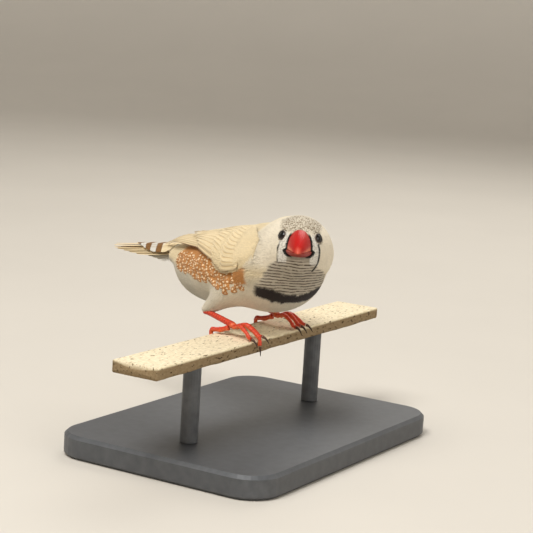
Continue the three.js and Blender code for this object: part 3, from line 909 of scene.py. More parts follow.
@dataclass(frozen=True)
class HornFinish(Finish):
    """Bill and claws: waxy horn, its tint from the mesh."""

    coat: float = 0.25
    grain: float = 0.12

    def dress(self, tree: Tree, shader: Node) -> None:
        """Adds faint clouds, uneven gloss and small dents."""
        place = self.place(tree)
        self.clouded(tree, shader, self.attribute(tree, "Tint"), 1200.0, self.grain)
        spread = noise(tree, place, 1500.0, 4.0)
        rough = maths(tree, "MULTIPLY_ADD", spread, 0.2, self.roughness - 0.1)
        link(tree, rough, shader.inputs["Roughness"])
        put(shader, Coat_Weight=self.coat, Coat_Roughness=0.25, Specular_IOR_Level=0.2)
        self.bump(tree, shader, noise(tree, place, 2600.0, 3.0), 0.00004, 0.3)


@dataclass(frozen=True)
class EyeFinish(Finish):
    """Wet eyeball: pupil and iris from the mesh under a clear gloss."""

    def dress(self, tree: Tree, shader: Node) -> None:
        """Adds a fine mottle and the gloss."""
        self.clouded(tree, shader, self.attribute(tree, "Tint"), 3500.0, 0.3)
        put(shader, Specular_IOR_Level=0.15, Coat_Weight=0.55, Coat_Roughness=0.03)


@dataclass(frozen=True)
class ScaleFinish(Finish):
    """Scaled skin of legs, toes and lids: tint from the mesh, wrinkles and a little subsurface scattering."""

    wrinkle: float = 2400.0

    def dress(self, tree: Tree, shader: Node) -> None:
        """Adds clouds, wrinkles and a little subsurface scattering."""
        self.clouded(tree, shader, self.attribute(tree, "Tint"), 1300.0, 0.22)
        cells = tree.nodes.new("ShaderNodeTexVoronoi")
        cells.feature = "DISTANCE_TO_EDGE"
        put(cells, Scale=self.wrinkle)
        link(tree, self.place(tree), cells.inputs["Vector"])
        edge = between(tree, cells.outputs["Distance"], 0.0, 0.12)
        self.bump(tree, shader, edge, 0.00005, 0.5)
        put(shader, Subsurface_Weight=0.1, Subsurface_Radius=(0.001, 0.0004, 0.0002))


@dataclass(frozen=True)
class LathFinish(Finish):
    """Rough sawn lath: tint from the mesh, fibres, dark flecks and pits."""

    def dress(self, tree: Tree, shader: Node) -> None:
        """Adds fibres along the lath, flecks and a rough bump."""
        stretched = tree.nodes.new("ShaderNodeMapping")
        put(stretched, Scale=(0.42, 1.0, 1.0))
        link(tree, self.place(tree), stretched.inputs["Vector"])
        fibre = noise(tree, stretched.outputs[0], 1500.0, 6.0)
        tint = self.attribute(tree, "Tint")
        shaded = mixed(tree, 1.0, tint, COLOURS.lath_shade, "MULTIPLY")
        lit = mixed(tree, between(tree, fibre, 0.32, 0.68), shaded, tint)
        flecks = between(tree, noise(tree, stretched.outputs[0], 1300.0, 4.0), 0.61, 0.67)
        dark = mixed(tree, flecks, lit, mixed(tree, 1.0, lit, COLOURS.lath_fleck, "MULTIPLY"))
        link(tree, dark, shader.inputs["Base Color"])
        height = maths(tree, "MULTIPLY_ADD", flecks, -1.2, fibre)
        self.bump(tree, shader, height, 0.00018, 0.75)
        put(shader, Specular_IOR_Level=0.2)


@dataclass(frozen=True)
class PaintFinish(Finish):
    """Satin paint on the stand, slightly uneven and worn paler on raised edges."""

    colour: tuple[int, int, int] = (62, 64, 67)

    def dress(self, tree: Tree, shader: Node) -> None:
        """Adds faint clouds, orange peel and paler edges."""
        place = self.place(tree)
        edge = tree.nodes.new("ShaderNodeNewGeometry").outputs["Pointiness"]
        worn = maths(tree, "MULTIPLY", between(tree, edge, 0.52, 0.6), noise(tree, place, 400.0, 5.0))
        base = mixed(tree, worn, srgb(*self.colour), srgb(*(min(c + 45, 255) for c in self.colour)))
        self.clouded(tree, shader, base, 160.0, 0.08)
        self.bump(tree, shader, noise(tree, place, 900.0, 2.0), 0.00004, 0.25)


def shade(red: int, green: int, blue: int) -> Array:
    """Dataclass field that holds a colour."""
    return field(default_factory=lambda: srgb(red, green, blue))


@dataclass(frozen=True)
class Colours:
    """Colours of the bird and the lath, linear."""

    back: Array = shade(224, 205, 166)
    wing: Array = shade(220, 200, 160)
    wing_edge: Array = shade(234, 220, 190)
    # Brown of the wing's lower edge: partly darker feather webs, partly painted shade.
    wing_low_brown_and_shade: Array = shade(118, 82, 54)
    cream: Array = shade(230, 219, 197)
    white: Array = shade(228, 224, 214)
    belly: Array = shade(214, 204, 184)
    vent: Array = shade(196, 188, 170)
    breast: Array = shade(190, 180, 162)
    bar_dark: Array = shade(84, 70, 58)
    band: Array = shade(34, 23, 19)
    tear: Array = shade(20, 14, 12)
    crown_fleck: Array = shade(130, 114, 92)
    chestnut: Array = shade(190, 130, 70)
    spot: Array = shade(232, 208, 172)
    tail: Array = shade(232, 212, 172)
    tail_shade: Array = shade(210, 184, 140)
    rump_bar: Array = shade(128, 88, 42)
    shaft: Array = field(default_factory=lambda: np.array([0.72, 0.62, 0.5]))
    bill: Array = shade(176, 12, 5)
    bill_deep: Array = shade(140, 14, 9)
    # Pale horn of the bill's cutting edges, also used for painted reflection on them and a painted highlight
    # at the tip.
    bill_pale_edge_and_highlight: Array = shade(226, 128, 98)
    iris: Array = shade(34, 13, 8)
    pupil: Array = shade(4, 3, 3)
    lid: Array = shade(62, 48, 40)
    leg: Array = shade(204, 58, 22)
    # The leg's shaded tone, used as painted shade in the scute grooves and at the toes' ends.
    leg_shaded: Array = shade(132, 28, 10)
    leg_pale: Array = shade(222, 98, 52)
    claw: Array = shade(98, 68, 52)
    claw_tip: Array = shade(58, 44, 38)
    lath_top: Array = shade(238, 225, 196)
    lath_side: Array = shade(152, 132, 102)
    lath_edge: Array = shade(238, 226, 194)
    lath_shade: Array = field(default_factory=lambda: np.array([0.8, 0.76, 0.68]))
    lath_fleck: Array = field(default_factory=lambda: np.array([0.22, 0.17, 0.12]))


COLOURS = Colours()
SKIN_COAT = CoatFinish("soft_feathers", 0.85)
WING_VANES = VaneFinish("wing_vanes", 0.72)
TAIL_VANES = VaneFinish("tail_vanes", 0.72, 190.0)
BILL_HORN = HornFinish("red_bill_horn", 0.44, 0.1)
CLAW_HORN = HornFinish("claw_horn", 0.42, 0.15, 0.25)
EYE_WET = EyeFinish("wet_eye", 0.1)
LID_SKIN = ScaleFinish("lid_skin", 0.6, 3200.0)
LEG_SKIN = ScaleFinish("scaled_leg_skin", 0.42)
LATH_WOOD = LathFinish("rough_lath", 0.9)
STAND_PAINT = PaintFinish("stand_paint", 0.5)


# Legs as the rest needs them


@dataclass(frozen=True)
class Foot:
    """One foot on the lath, with the joints above it.

    Args:
        side: +1 for the left one, -1 for the right one.
        name: Its side in words.
        along: Place of its pad along the lath.
        turn: Turn of its toes about the vertical in degrees.
        over: How far its front toes bend down past the lath's edge.
        across: Place of its pad across the lath.
        height: Height of its pad.
        palm_radius: Radius of its pad.
        shank: From the pad to the heel, forward, outward and up.
        thigh: From the heel to the knee.
    """

    side: int
    name: str
    along: float
    turn: float
    over: float
    across: float = 1.2
    height: float = 3.2
    palm_radius: float = 1.5
    shank: tuple[float, float, float] = (-13.6, 0.6, 1.9)
    thigh: tuple[float, float, float] = (10.0, -4.2, 8.6)

    def palm(self) -> Array:
        """Middle of the pad."""
        return STANCE.from_lath(self.along, self.across, self.height + 0.2)

    def heel(self) -> Array:
        """Top of the shank."""
        return self.palm() + np.array(self.shank) * [1, self.side, 1]

    def knee(self) -> Array:
        """Joint inside the body's flank."""
        return self.heel() + np.array(self.thigh) * [1, self.side, 1]


FEET = [Foot(-1, "right", -12.0, 2.0, 1.2), Foot(1, "left", 12.6, -2.0, 0.2)]


@dataclass(frozen=True)
class EyePlace:
    """Where the eyeballs sit in the skull's frame."""

    radius: float = 1.75
    ahead: float = 4.0
    aside: float = 4.35
    up: float = 2.5

    def middle(self, side: int) -> Array:
        """Middle of one eyeball."""
        return HEAD.point(self.ahead, side * self.aside, self.up)

    def gaps(self, points: Array) -> list[Array]:
        """Distance of points from the middle of each eyeball."""
        return [np.linalg.norm(points - self.middle(side), axis=-1) for side in (1, -1)]

    def axis(self, side: int) -> Array:
        """Way out of the head at the eye."""
        return slope(BODY.depth, self.middle(side)[None])[0]


EYES = EyePlace()


# Flesh, skin and coat


@dataclass(frozen=True)
class Flesh:
    """The whole soft form out to the feathers' tips: the body with its thighs run into it."""

    thigh_low: float = 1.5
    thigh_high: float = 4.9
    start: float = 0.9
    blend: float = 3.0
    bill_foot: tuple[float, float, float] = (7.4, 0.0, 0.2)
    spine: tuple[tuple[float, ...], ...] = (
        (-46, 0, 17),
        (-24, 0, 17.2),
        (-10, 0, 18.2),
        (2, 0, 20.4),
        (11.6, -0.8, 25),
    )
    bare: float = 0.26
    bare_heel: float = 0.3
    yaw: Profile = Profile((-37, -10, 2, 11.6, 16.4), (0, 0, -4, -16, -32))
    pitch: Profile = Profile((-37, -24, -10, 2, 11.6, 16.4), (2, 6, 14, 28, 44, 42))

    def thigh(self, foot: Foot, points: Array) -> Array:
        """Depth of one thigh."""
        way = unit(foot.knee() - foot.heel())
        share, near = nearest(points, foot.heel() + way * self.start, foot.knee())
        radius = self.thigh_low + (self.thigh_high - self.thigh_low) * share**0.8
        return np.linalg.norm(points - near, axis=-1) - radius

    def depth(self, points: Array) -> Array:
        """Depth of the whole form."""
        out = BODY.depth(points)
        for foot in FEET:
            out = merged(out, self.thigh(foot, points), self.blend)
        return out

    def head_share(self, points: Array) -> Array:
        """How far a place belongs to the head, 0 to 1."""
        local = HEAD.inside(points)
        return rises(local[..., 0], -9.5, 6.0) * rises(local[..., 2], -10.5, 5.0)

    def thigh_share(self, points: Array) -> Array:
        """How far a place belongs to a thigh, 0 to 1."""
        body = BODY.depth(points)
        legs = np.min([self.thigh(foot, points) for foot in FEET], axis=0)
        return smooth((body - legs) / 1.6 + 0.35)

    def coat(self, points: Array) -> Array:
        """Thickness of the coat over the skin."""
        local = HEAD.inside(points)
        thick = 1.0 - 0.4 * self.head_share(points)
        bill = np.linalg.norm((local - np.array(self.bill_foot)) * [0.7, 1.0, 1.0], axis=-1)
        thick = self.bare + (thick - self.bare) * rises(bill, 3.6, 4.0)
        for gap in EYES.gaps(points):
            thick = self.bare + (thick - self.bare) * rises(gap, 2.2, 3.0)
        for foot in FEET:
            gap = np.linalg.norm(points - foot.heel(), axis=-1)
            thick = self.bare_heel + (thick - self.bare_heel) * rises(gap, 1.5, 6.0)
        return thick

    def skin(self, points: Array) -> Array:
        """Depth of the skin, which lies under the coat and is open where the eyes sit."""
        out = self.depth(points) + self.coat(points)
        for gap in EYES.gaps(points):
            out = np.maximum(out, EYES.radius + 0.1 - gap)
        return out

    def axis(self, points: Array) -> Array:
        """Forward way along the body's middle line at each place."""
        yaw, pitch = np.radians(self.yaw(points[..., 0])), np.radians(self.pitch(points[..., 0]))
        return np.stack([np.cos(yaw) * np.cos(pitch), np.sin(yaw) * np.cos(pitch), np.sin(pitch)], -1)

    def lie(self, points: Array) -> Array:
        """Way that feathers lie at each place, along the surface."""
        right, left = (unit(foot.heel() - foot.knee()) for foot in FEET)
        leg = np.where((points[..., 1] < 0)[..., None], right, left)
        away = unit(points - HEAD.point(*self.bill_foot))
        back = -self.axis(points)
        way = blend_rows(back, unit(away + 0.35 * back), self.head_share(points))
        way = blend_rows(way, unit(leg + 0.4 * back), self.thigh_share(points))
        out = slope(self.depth, points)
        return unit(way - out * np.sum(way * out, -1, keepdims=True))

    def chart(self, points: Array) -> Array:
        """Place on a sheet wrapped round the body: distance along it and angle round it."""
        knots = np.array([*self.spine, HEAD.point(-2.5, 0, 0), HEAD.point(9.5, 0, -1)])
        best = np.full(points.shape[:-1], np.inf)
        along, ahead = np.zeros(points.shape[:-1]), np.zeros(points.shape)
        foot, travelled = np.zeros(points.shape), 0.0
        for low, high in zip(knots[:-1], knots[1:]):
            share, near = nearest(points, low, high)
            length = float(np.linalg.norm(high - low))
            gap = np.linalg.norm(points - near, axis=-1)
            closer = gap < best
            best = np.where(closer, gap, best)
            along = np.where(closer, travelled + share * length, along)
            ahead = np.where(closer[..., None], unit(high - low), ahead)
            foot = np.where(closer[..., None], near, foot)
            travelled += length
        off = points - foot
        left = unit(np.stack([-ahead[..., 1], ahead[..., 0], np.zeros_like(along)], -1))
        up = np.cross(ahead, left)
        angle = np.arctan2(np.sum(off * left, -1), -np.sum(off * up, -1))
        return np.stack([along / travelled, angle / (2 * np.pi) + 0.5], -1)


FLESH = Flesh()


def grain(points: Array, pitch: float, seed: int) -> Array:
    """Smooth random value between -1 and 1 that changes over a distance.

    Args:
        points: Where it is read.
        pitch: That distance.
        seed: Which pattern.

    Returns:
        One value a point.
    """
    table = np.random.default_rng(seed).random(4096) * 2 - 1
    place = points / pitch
    cell = np.floor(place).astype(np.int64)
    share = smooth(place - cell)
    out = np.zeros(points.shape[:-1])
    for corner in np.ndindex(2, 2, 2):
        where = cell + np.array(corner)
        index = (where[..., 0] * 73856093) ^ (where[..., 1] * 19349663) ^ (where[..., 2] * 83492791)
        weight = np.prod(np.where(np.array(corner) == 1, share, 1 - share), -1)
        out += table[index % 4096] * weight
    return out


def surface_net(
    depth: Measure, low: tuple[float, ...], high: tuple[float, ...], step: float
) -> Shell:
    """Closed surface where a depth is zero.

    Args:
        depth: The form's depth.
        low: Lowest corner of the block that holds it.
        high: Highest corner.
        step: Size of a cell.

    Returns:
        The surface, its faces turned out.
    """
    axes = [np.arange(a, b + step, step) for a, b in zip(low, high)]
    grid = np.stack(np.meshgrid(*axes, indexing="ij"), -1)
    value = np.concatenate([depth(rows) for rows in np.array_split(grid, 24)])
    inside = value < 0
    total, count = np.zeros((*(n - 1 for n in value.shape), 3)), np.zeros([n - 1 for n in value.shape])
    shape = np.array(value.shape)
    crossings = []
    for axis in range(3):
        a = [slice(None)] * 3
        b = [slice(None)] * 3
        a[axis], b[axis] = slice(0, -1), slice(1, None)
        va, vb = value[tuple(a)], value[tuple(b)]
        crossing = inside[tuple(a)] != inside[tuple(b)]
        share = np.where(crossing, va / np.where(crossing, va - vb, 1.0), 0.0)
        place = grid[tuple(a)].copy()
        place[..., axis] += share * step
        crossings.append((axis, crossing, inside[tuple(a)]))
        others = [k for k in range(3) if k != axis]
        for shift in np.ndindex(2, 2):
            source, target = [slice(None)] * 3, [slice(None)] * 3
            for k, move in zip(others, shift):
                source[k] = slice(1 - move, shape[k] - move)
                target[k] = slice(0, shape[k] - 1)
            picked = crossing[tuple(source)]
            total[tuple(target)] += np.where(picked[..., None], place[tuple(source)], 0.0)
            count[tuple(target)] += picked
    used = count > 0
    index = np.full(used.shape, -1)
    index[used] = np.arange(int(used.sum()))
    points = total[used] / count[used][:, None]
    faces = []
    for axis, crossing, out_there in crossings:
        others = [(axis + 1) % 3, (axis + 2) % 3]
        where = np.argwhere(crossing)
        keep = np.all([(where[:, k] > 0) & (where[:, k] < shape[k] - 1) for k in others], axis=0)
        where = where[keep]
        flip = out_there[tuple(where.T)]
        corner = []
        for move in ((0, 0), (1, 0), (1, 1), (0, 1)):
            cell = where.copy()
            for k, m in zip(others, move):
                cell[:, k] -= 1 - m
            corner.append(index[tuple(cell.T)])
        rows = np.stack(corner, -1)
        faces.append(np.where(flip[:, None], rows, rows[:, ::-1]))
    return outward(Shell(points, [np.concatenate(faces)]))


@dataclass(frozen=True)
class Plumage:
    """Markings, painted by place: the skin and every feather read the same ones."""

    neck_middle: Profile = Profile((12, 18, 24, 30), (4, 7, 11.6, 19.6))
    neck_aside: Profile = Profile((12, 30), (0, -2))
    breast_turn: Profile = Profile((18, 24), (-8, -30))
    barred_half: Profile = Profile((15, 18, 21, 24, 26, 27), (62, 55, 45, 33, 27, 22))
    band_low: float = 11.3
    band_high: float = 16.6
    band_half: float = 58.0
    flank_top: Profile = Profile((-32, -26, -4, 8), (22.4, 23, 22, 22))
    flank_low: Profile = Profile((-32, -24, -10, 2, 9), (17.2, 15.8, 14.6, 15, 16.2))
    waist: Profile = Profile((-45, -24, 0, 14, 20), (17, 17, 19, 22.5, 24))
    crown_low: float = 3.7
    tear_half: float = 0.36
    tear_knots: tuple[tuple[float, ...], ...] = (
        (5.4, 5.2, 1.2),
        (5.5, 6.0, -0.5),
        (5.4, 5.8, -4.2),
        (5.0, 4.3, -6.6),
    )

    def neck_angle(self, points: Array) -> Array:
        """Angle in degrees about an upright line through the neck, 0 ahead and positive to the left."""
        x, y, z = points[..., 0], points[..., 1], points[..., 2]
        return np.degrees(np.arctan2(y - self.neck_aside(z), x - self.neck_middle(z)))

    def off_middle(self, points: Array) -> Array:
        """How far round from the breast's middle line, in degrees."""
        return self.neck_angle(points) - self.breast_turn(points[..., 2])

    def barred(self, points: Array) -> Array:
        """Share of fine barring: throat and breast."""
        z, off = points[..., 2], np.abs(self.off_middle(points))
        ragged = 5.0 * grain(points, 1.1, 5)
        local = HEAD.inside(points)
        under = smooth((-2.6 - local[..., 2] - 0.25 * np.abs(local[..., 1])) / 0.7)
        aside = smooth((self.barred_half(z) - off + ragged) / 9.0)
        return aside * rises(z, 14.0, 1.5) * under * (points[..., 0] > 3.0)

    def band(self, points: Array) -> Array:
        """Share of the dark band across the low breast."""
        z, off = points[..., 2], self.off_middle(points)
        ragged = 0.45 * grain(points, 0.9, 9)
        low = self.band_low + 2.2 * (off / 55.0) ** 2 + ragged
        high = self.band_high - 1.9 * (1 - smooth((np.abs(off) - 6.0) / 32.0)) + ragged
        inside = rises(z, low, 0.45) * rises(high, z, 0.5)
        ends = smooth((self.band_half - np.abs(off) + 6 * ragged) / 7.0)
        return inside * ends * (points[..., 0] > 2.0)

    def line(self, local: Array, knots: tuple[tuple[float, ...], ...], half: float) -> Array:
        """Share of a dark line along knots in the skull's frame, the same on both sides."""
        mirrored = local * np.array([1.0, 0.0, 1.0]) + np.abs(local) * np.array([0.0, 1.0, 0.0])
        best = np.full(local.shape[:-1], np.inf)
        for a, b in zip(knots[:-1], knots[1:]):
            _, near = nearest(mirrored, np.array(a), np.array(b))
            best = np.minimum(best, np.linalg.norm(mirrored - near, axis=-1))
        return smooth((half + 0.12 - best) / 0.24)

    def face_lines(self, points: Array) -> Array:
        """Share of the tear line under the eye and of the line behind the bill."""
        local = HEAD.inside(points)
        tear = self.line(local, self.tear_knots, self.tear_half)
        u, aside = local[..., 2], np.abs(local[..., 1])
        rim = BILL_FORM.holds(points, 0.62) | (BILL_FORM.holds(points, 1.0) & (u < -0.4))
        lores = rim * rises(aside, 1.5, 0.8) * rises(u, -2.7, 0.3) * falls(u, 4.6, 1.0)
        return np.maximum(tear, lores)

    def flank(self, points: Array) -> Array:
        """Share of the chestnut flank below the wing's lower edge."""
        x, y, z = points[..., 0], np.abs(points[..., 1]), points[..., 2]
        top, low = self.flank_top(x), self.flank_low(x) + 0.5 * grain(points, 1.3, 3)
        ends = rises(x, -31.0, 3.0) * falls(x, 9.5, 1.5)
        return rises(z, low, 0.8) * rises(top, z, 1.0) * ends * rises(y, 5.5, 1.5)

    def paint(self, points: Array) -> tuple[Array, Array]:
        """Colour and marks at each point.

        Args:
            points: Points in the bird's frame.

        Returns:
            Linear colours, and shares of barring, flecks and spots.
        """
        c = COLOURS
        local = HEAD.inside(points)
        f, l, u = local[..., 0], np.abs(local[..., 1]), local[..., 2]
        x, z = points[..., 0], points[..., 2]
        head = FLESH.head_share(points)
        tint = blend_rows(c.belly, c.back, rises(z, self.waist(x) - 5.5, 5.0))
        tint = blend_rows(tint, c.vent, falls(x, -17.0, 6.0) * falls(z, 16.8, 2.0))
        tint = blend_rows(tint, c.cream, 0.8 * head + 0.2 * head * rises(f, -6.0, 6.0))
        # Chin under the bill: its own grey-brown, darkened further by painted shadow of the bill.
        throat = falls(u, -1.7, 0.6) * falls(l, 4.9, 1.0) * rises(f, 1.0, 2.0)
        tint = blend_rows(tint, c.breast * 0.68, throat)
        barred = self.barred(points)
        tint = blend_rows(tint, c.breast, barred)
        lore_patch = rises(f, 4.4, 0.8) * falls(l, 6.1, 0.4) * rises(l, 3.1, 0.5)
        lore_patch = lore_patch * rises(u, -5.2, 1.0) * falls(u, 4.4, 0.8)
        tint = blend_rows(tint, c.white, lore_patch)
        tint = blend_rows(tint, c.chestnut, self.flank(points) * (1 - head))
        band = self.band(points)
        tint = blend_rows(tint, c.band, band)
        lines = self.face_lines(points)
        tint = blend_rows(tint, c.tear, lines)
        crown = rises(u, self.crown_low, 1.5) * rises(f, -5.0, 4.0) * falls(l, 6.4, 1.2)
        tint = tint * (1 - 0.22 * crown * (1 - lines))[..., None]
        flecks = np.maximum(crown, 0.35 * lore_patch) * (1 - lines)
        marks = np.stack([barred * (1 - band) * (1 - lines), flecks, np.zeros_like(flecks)], -1)
        return tint, marks


PLUMAGE = Plumage()


@dataclass(frozen=True)
class WingChart:
    """Chart of the folded wings: x along the body, and rows counted up from the wing's lower edge.

    Args:
        front: Front end along the body.
        tip: Where the longest feather ends.
        rows: Number of rows.
        clear: Gap between the body and the wing's underside.
        core_end: Rear end of the core.
        axis: Height that the rays of the chart start from.
        top_edge: Turn of the upper edge at shares of the length.
        low_edge: Turn of the lower edge.
        core: Thickness of the core along the body.
    """

    front: float = 11.5
    tip: float = -47.0
    rows: int = 7
    clear: float = 0.45
    core_end: float = -17.0
    axis: Profile = Profile((-60, -37, -24, 0, 14), (15.6, 17.2, 17.6, 19.4, 22))
    top_edge: Profile = Profile((0, 0.12, 0.3, 0.7, 0.85, 1), (50, 26, 10, 8, 14, 34))
    low_edge: Profile = Profile((0, 0.1, 0.22, 0.33, 0.45, 0.56, 0.8, 1), (78, 92, 94, 80, 70, 62, 57, 54))
    core: Profile = Profile((-17, -10, -2, 6, 11.5), (0.6, 0.9, 1.3, 1.3, 0.6))

    def share(self, x: Array) -> Array:
        """Share of the wing's length from its front to its tip."""
        return (x - self.front) / (self.tip - self.front)

    def top(self, x: Array) -> Array:
        """Turn of the wing's upper edge from upright, in degrees."""
        return self.top_edge(self.share(x))

    def low(self, x: Array) -> Array:
        """Turn of its lower edge."""
        return self.low_edge(self.share(x))

    def core_level(self, x: Array) -> Array:
        """How far the wing's core stands out from the body."""
        return self.clear + self.core(x)

    def point(self, x: Array, row: Array, level: Array, side: int) -> Array:
        """Points of the chart.

        Args:
            x: Place along the body.
            row: Row up from the lower edge.
            level: Height out from the body.
            side: +1 for the left wing.

        Returns:
            Points in the bird's frame.
        """
        x, row, level = np.broadcast_arrays(x, row, level)
        turn = np.radians(self.low(x) + (self.top(x) - self.low(x)) * row / self.rows)
        start = np.stack([x, np.zeros_like(x), self.axis(x)], -1).reshape(-1, 3)
        way = np.stack([np.zeros_like(x), side * np.sin(turn), np.cos(turn)], -1).reshape(-1, 3)
        out = cast(UNDER_WING, start, way, np.maximum(level, self.clear).ravel())
        return out.reshape(*x.shape, 3)

    def turn_of(self, points: Array) -> Array:
        """Turn from upright of points of the bird, in degrees."""
        return np.degrees(np.arctan2(np.abs(points[..., 1]), points[..., 2] - self.axis(points[..., 0])))

    def covers(self, points: Array, edge: float) -> Array:
        """Whether points lie under a wing by more than an edge, in degrees of turn."""
        x, turn = points[..., 0], self.turn_of(points)
        open_top = self.top(x) + (self.low(x) - self.top(x)) * 0.45 * falls(x, -19.0, 6.0)
        inside = (turn > open_top + edge) & (turn < self.low(x) - edge)
        return inside & (x < self.front - edge / 4) & (x > -36.0)


WINGS = WingChart()


@dataclass(frozen=True)
class Tract:
    """A stretch of the coat with its own size of feather.

    Args:
        name: Name of its piece.
        spacing: Distance between feathers' roots.
        length: Length of a feather.
        width: Its half width.
        ruffle: How far feathers turn from the lie, in radians.
        lift: How far the tip stands off the coat's outer form.
    """

    name: str
    spacing: float
    length: float
    width: float
    ruffle: float = 0.16
    lift: float = 0.02


@dataclass(frozen=True)
class BillForm:
    """Form of the short conical bill.

    Args:
        length: From its foot to the upper half's tip.
        base: Place of its foot ahead of the skull's middle.
        up: Height of its foot over the skull's middle.
        droop: How far it points down, in degrees.
        rise: Height of the upper half at the foot.
        drop: Depth of the lower half there.
        half: Half width there.
        tip: Height of the tips.
        gape: Height of the mouth's line at the foot.
        root: How far it goes back into the head.
        bite: Length of the lower half as a share of the upper one's.
        over: Share of the width that the upper half has.
        under: Share of the width that the lower half has.
    """

    length: float = 10.4
    base: float = 6.9
    up: float = 0.8
    droop: float = 3.0
    rise: float = 4.4
    drop: float = 3.2
    half: float = 3.8
    tip: float = -0.4
    gape: float = -1.5
    root: float = 2.4
    bite: float = 0.93
    over: float = 0.86
    under: float = 0.94

    def place(self, x: Array, y: Array, z: Array) -> Array:
        """Points of the bill's frame in the bird's."""
        turn = math.radians(self.droop)
        f, u = x * math.cos(turn) + z * math.sin(turn), -x * math.sin(turn) + z * math.cos(turn)
        local = np.stack(np.broadcast_arrays(self.base + f, y, self.up + u), -1)
        return np.array(HEAD.skull) + local @ HEAD.axes()

    def at(self, t: Array) -> tuple[Array, Array, Array, Array]:
        """Half width, top, bottom and line of the mouth at shares of the length."""
        t = np.clip(t, 0, 1)
        half = self.half * (1 - t**1.55) ** 0.8 + 0.12
        top = self.tip + (self.rise - self.tip) * (1 - t**1.75) ** 0.85 + 0.15
        low = self.tip - (self.drop + self.tip) * (1 - np.minimum(t / self.bite, 1) ** 1.35) ** 0.8 - 0.1
        return half, top, low, self.tip + (self.gape - self.tip) * (1 - t) ** 2

    def holds(self, points: Array, spare: float = 0.04) -> Array:
        """Whether points lie inside the bill, grown by a little."""
        local = HEAD.inside(points)
        turn = math.radians(self.droop)
        f, u = local[..., 0] - self.base, local[..., 2] - self.up
        x, z = f * math.cos(turn) - u * math.sin(turn), f * math.sin(turn) + u * math.cos(turn)
        half, top, low, mouth = self.at(x / self.length)
        half = half * np.where(z > mouth, self.over, self.under)
        reach = np.where(z > mouth, top - mouth, mouth - low) + spare
        within = (local[..., 1] / (half + spare)) ** 2 + ((z - mouth) / reach) ** 2 < 1
        return (x > 0.05 - 3 * (spare > 0.1)) & within


BILL_FORM = BillForm()


@dataclass
class Lay:
    """How a tract's feathers lie.

    Args:
        depth: Depth of the form that they lie on.
        lie: Way that they lie at a place.
        levels: Depth of the root, two places on the way and the tip, one value a feather.
        short: How much shorter than the tract's each feather is.
    """

    depth: Measure
    lie: Measure
    levels: list[Array]
    short: Array


TUFT_STOPS = (0.0, 0.38, 0.74, 1.0)
TUFT_WIDTHS = (0.6, 1.0, 0.74)
TUFT_TONES = (0.88, 0.88, 0.9, 0.95, 0.95, 0.99, 0.99, 0.99, 1.02, 1.01)
TUFT_PATCH = 0.003


def lay_tufts(tract: Tract, roots: Array, lay: Lay) -> tuple[Array, Array]:
    """Tapering closed tufts stepped along the lie from their roots.

    Args:
        tract: Their sizes.
        roots: One place a tuft.
        lay: How they lie.

    Returns:
        Ten points a tuft, three rings of left, right and ridge and then the tip, and the way out at each.
    """
    rng = np.random.default_rng(11 + len(tract.name) * 101)
    count = len(roots)
    length = tract.length * lay.short * (0.8 + 0.4 * rng.random(count))
    width = tract.width * (0.85 + 0.3 * rng.random(count))
    turn = tract.ruffle * rng.standard_normal(count)
    here, sections, ways_out = roots, [], []
    for number, share in enumerate(TUFT_STOPS):
        if number:
            way = lay.lie(here)
            across = np.cross(slope(lay.depth, here), way)
            way = way * np.cos(turn)[:, None] + across * np.sin(turn)[:, None]
            here = here + way * (length * (share - TUFT_STOPS[number - 1]))[:, None]
        here = settle(lay.depth, here, lay.levels[number], 2)
        out = slope(lay.depth, here)
        if number == 3:
            sections.append(here)
            ways_out.append(out)
            continue
        way = lay.lie(here)
        across = np.cross(out, way) * np.cos(turn)[:, None] - way * np.sin(turn)[:, None]
        half = (width * TUFT_WIDTHS[number])[:, None]
        base = here - out * half * 0.1
        sections += [base - across * half, base + across * half, here + out * half * 0.35]
        ways_out += [out - 0.6 * across, out + 0.6 * across, out]
    return np.stack(sections, 1), unit(np.stack(ways_out, 1))


def tuft_piece(
    tract: Tract,
    points: Array,
    ways_out: Array,
    sheet: Array,
    paint: Callable[[Array], tuple[Array, Array]],
    slot: Slot = Slot.PLUMAGE,
) -> None:
    """Joins tufts into one piece.

    Args:
        tract: The tract.
        points: Ten points a tuft.
        ways_out: Way out at each point.
        sheet: Place of each root on the sheet.
        paint: Gives colours and marks at points.
        slot: Passed on to make_piece.
    """
    count = len(points)
    rows = []
    for a, b in ((0, 1), (1, 2), (2, 0), (3, 4), (4, 5), (5, 3)):
        rows += [(a, b, b + 3), (a, b + 3, a + 3)]
    rows += [(6, 7, 9), (7, 8, 9), (8, 6, 9), (0, 2, 1)]
    faces = (np.array(rows)[None] + 10 * np.arange(count)[:, None, None]).reshape(-1, 3)
    flat = points.reshape(-1, 3)
    tint, marks = paint(flat)
    rng = np.random.default_rng(3)
    shade = np.repeat(0.93 + 0.11 * rng.random(count), 10)
    tint = np.clip(tint * (shade * np.tile(TUFT_TONES, count))[:, None], 0, 1)
    across = np.array([0, 1, 0.5, 0, 1, 0.5, 0.1, 0.9, 0.5, 0.5])
    along = np.repeat(TUFT_STOPS, (3, 3, 3, 1))
    local = np.stack([np.tile(across, count), np.tile(along, count)], -1)
    patch = TUFT_PATCH + 0.99 * np.repeat(sheet, 10, axis=0) + (local - 0.5) * TUFT_PATCH
    shell = outward(Shell(flat, [faces], tint, marks, local, np.clip(patch, 0, 1), ways_out.reshape(-1, 3)))
    make_piece(tract.name, shell, SKIN_COAT, slot)


ROLL, CROWDING = 977, 0.86


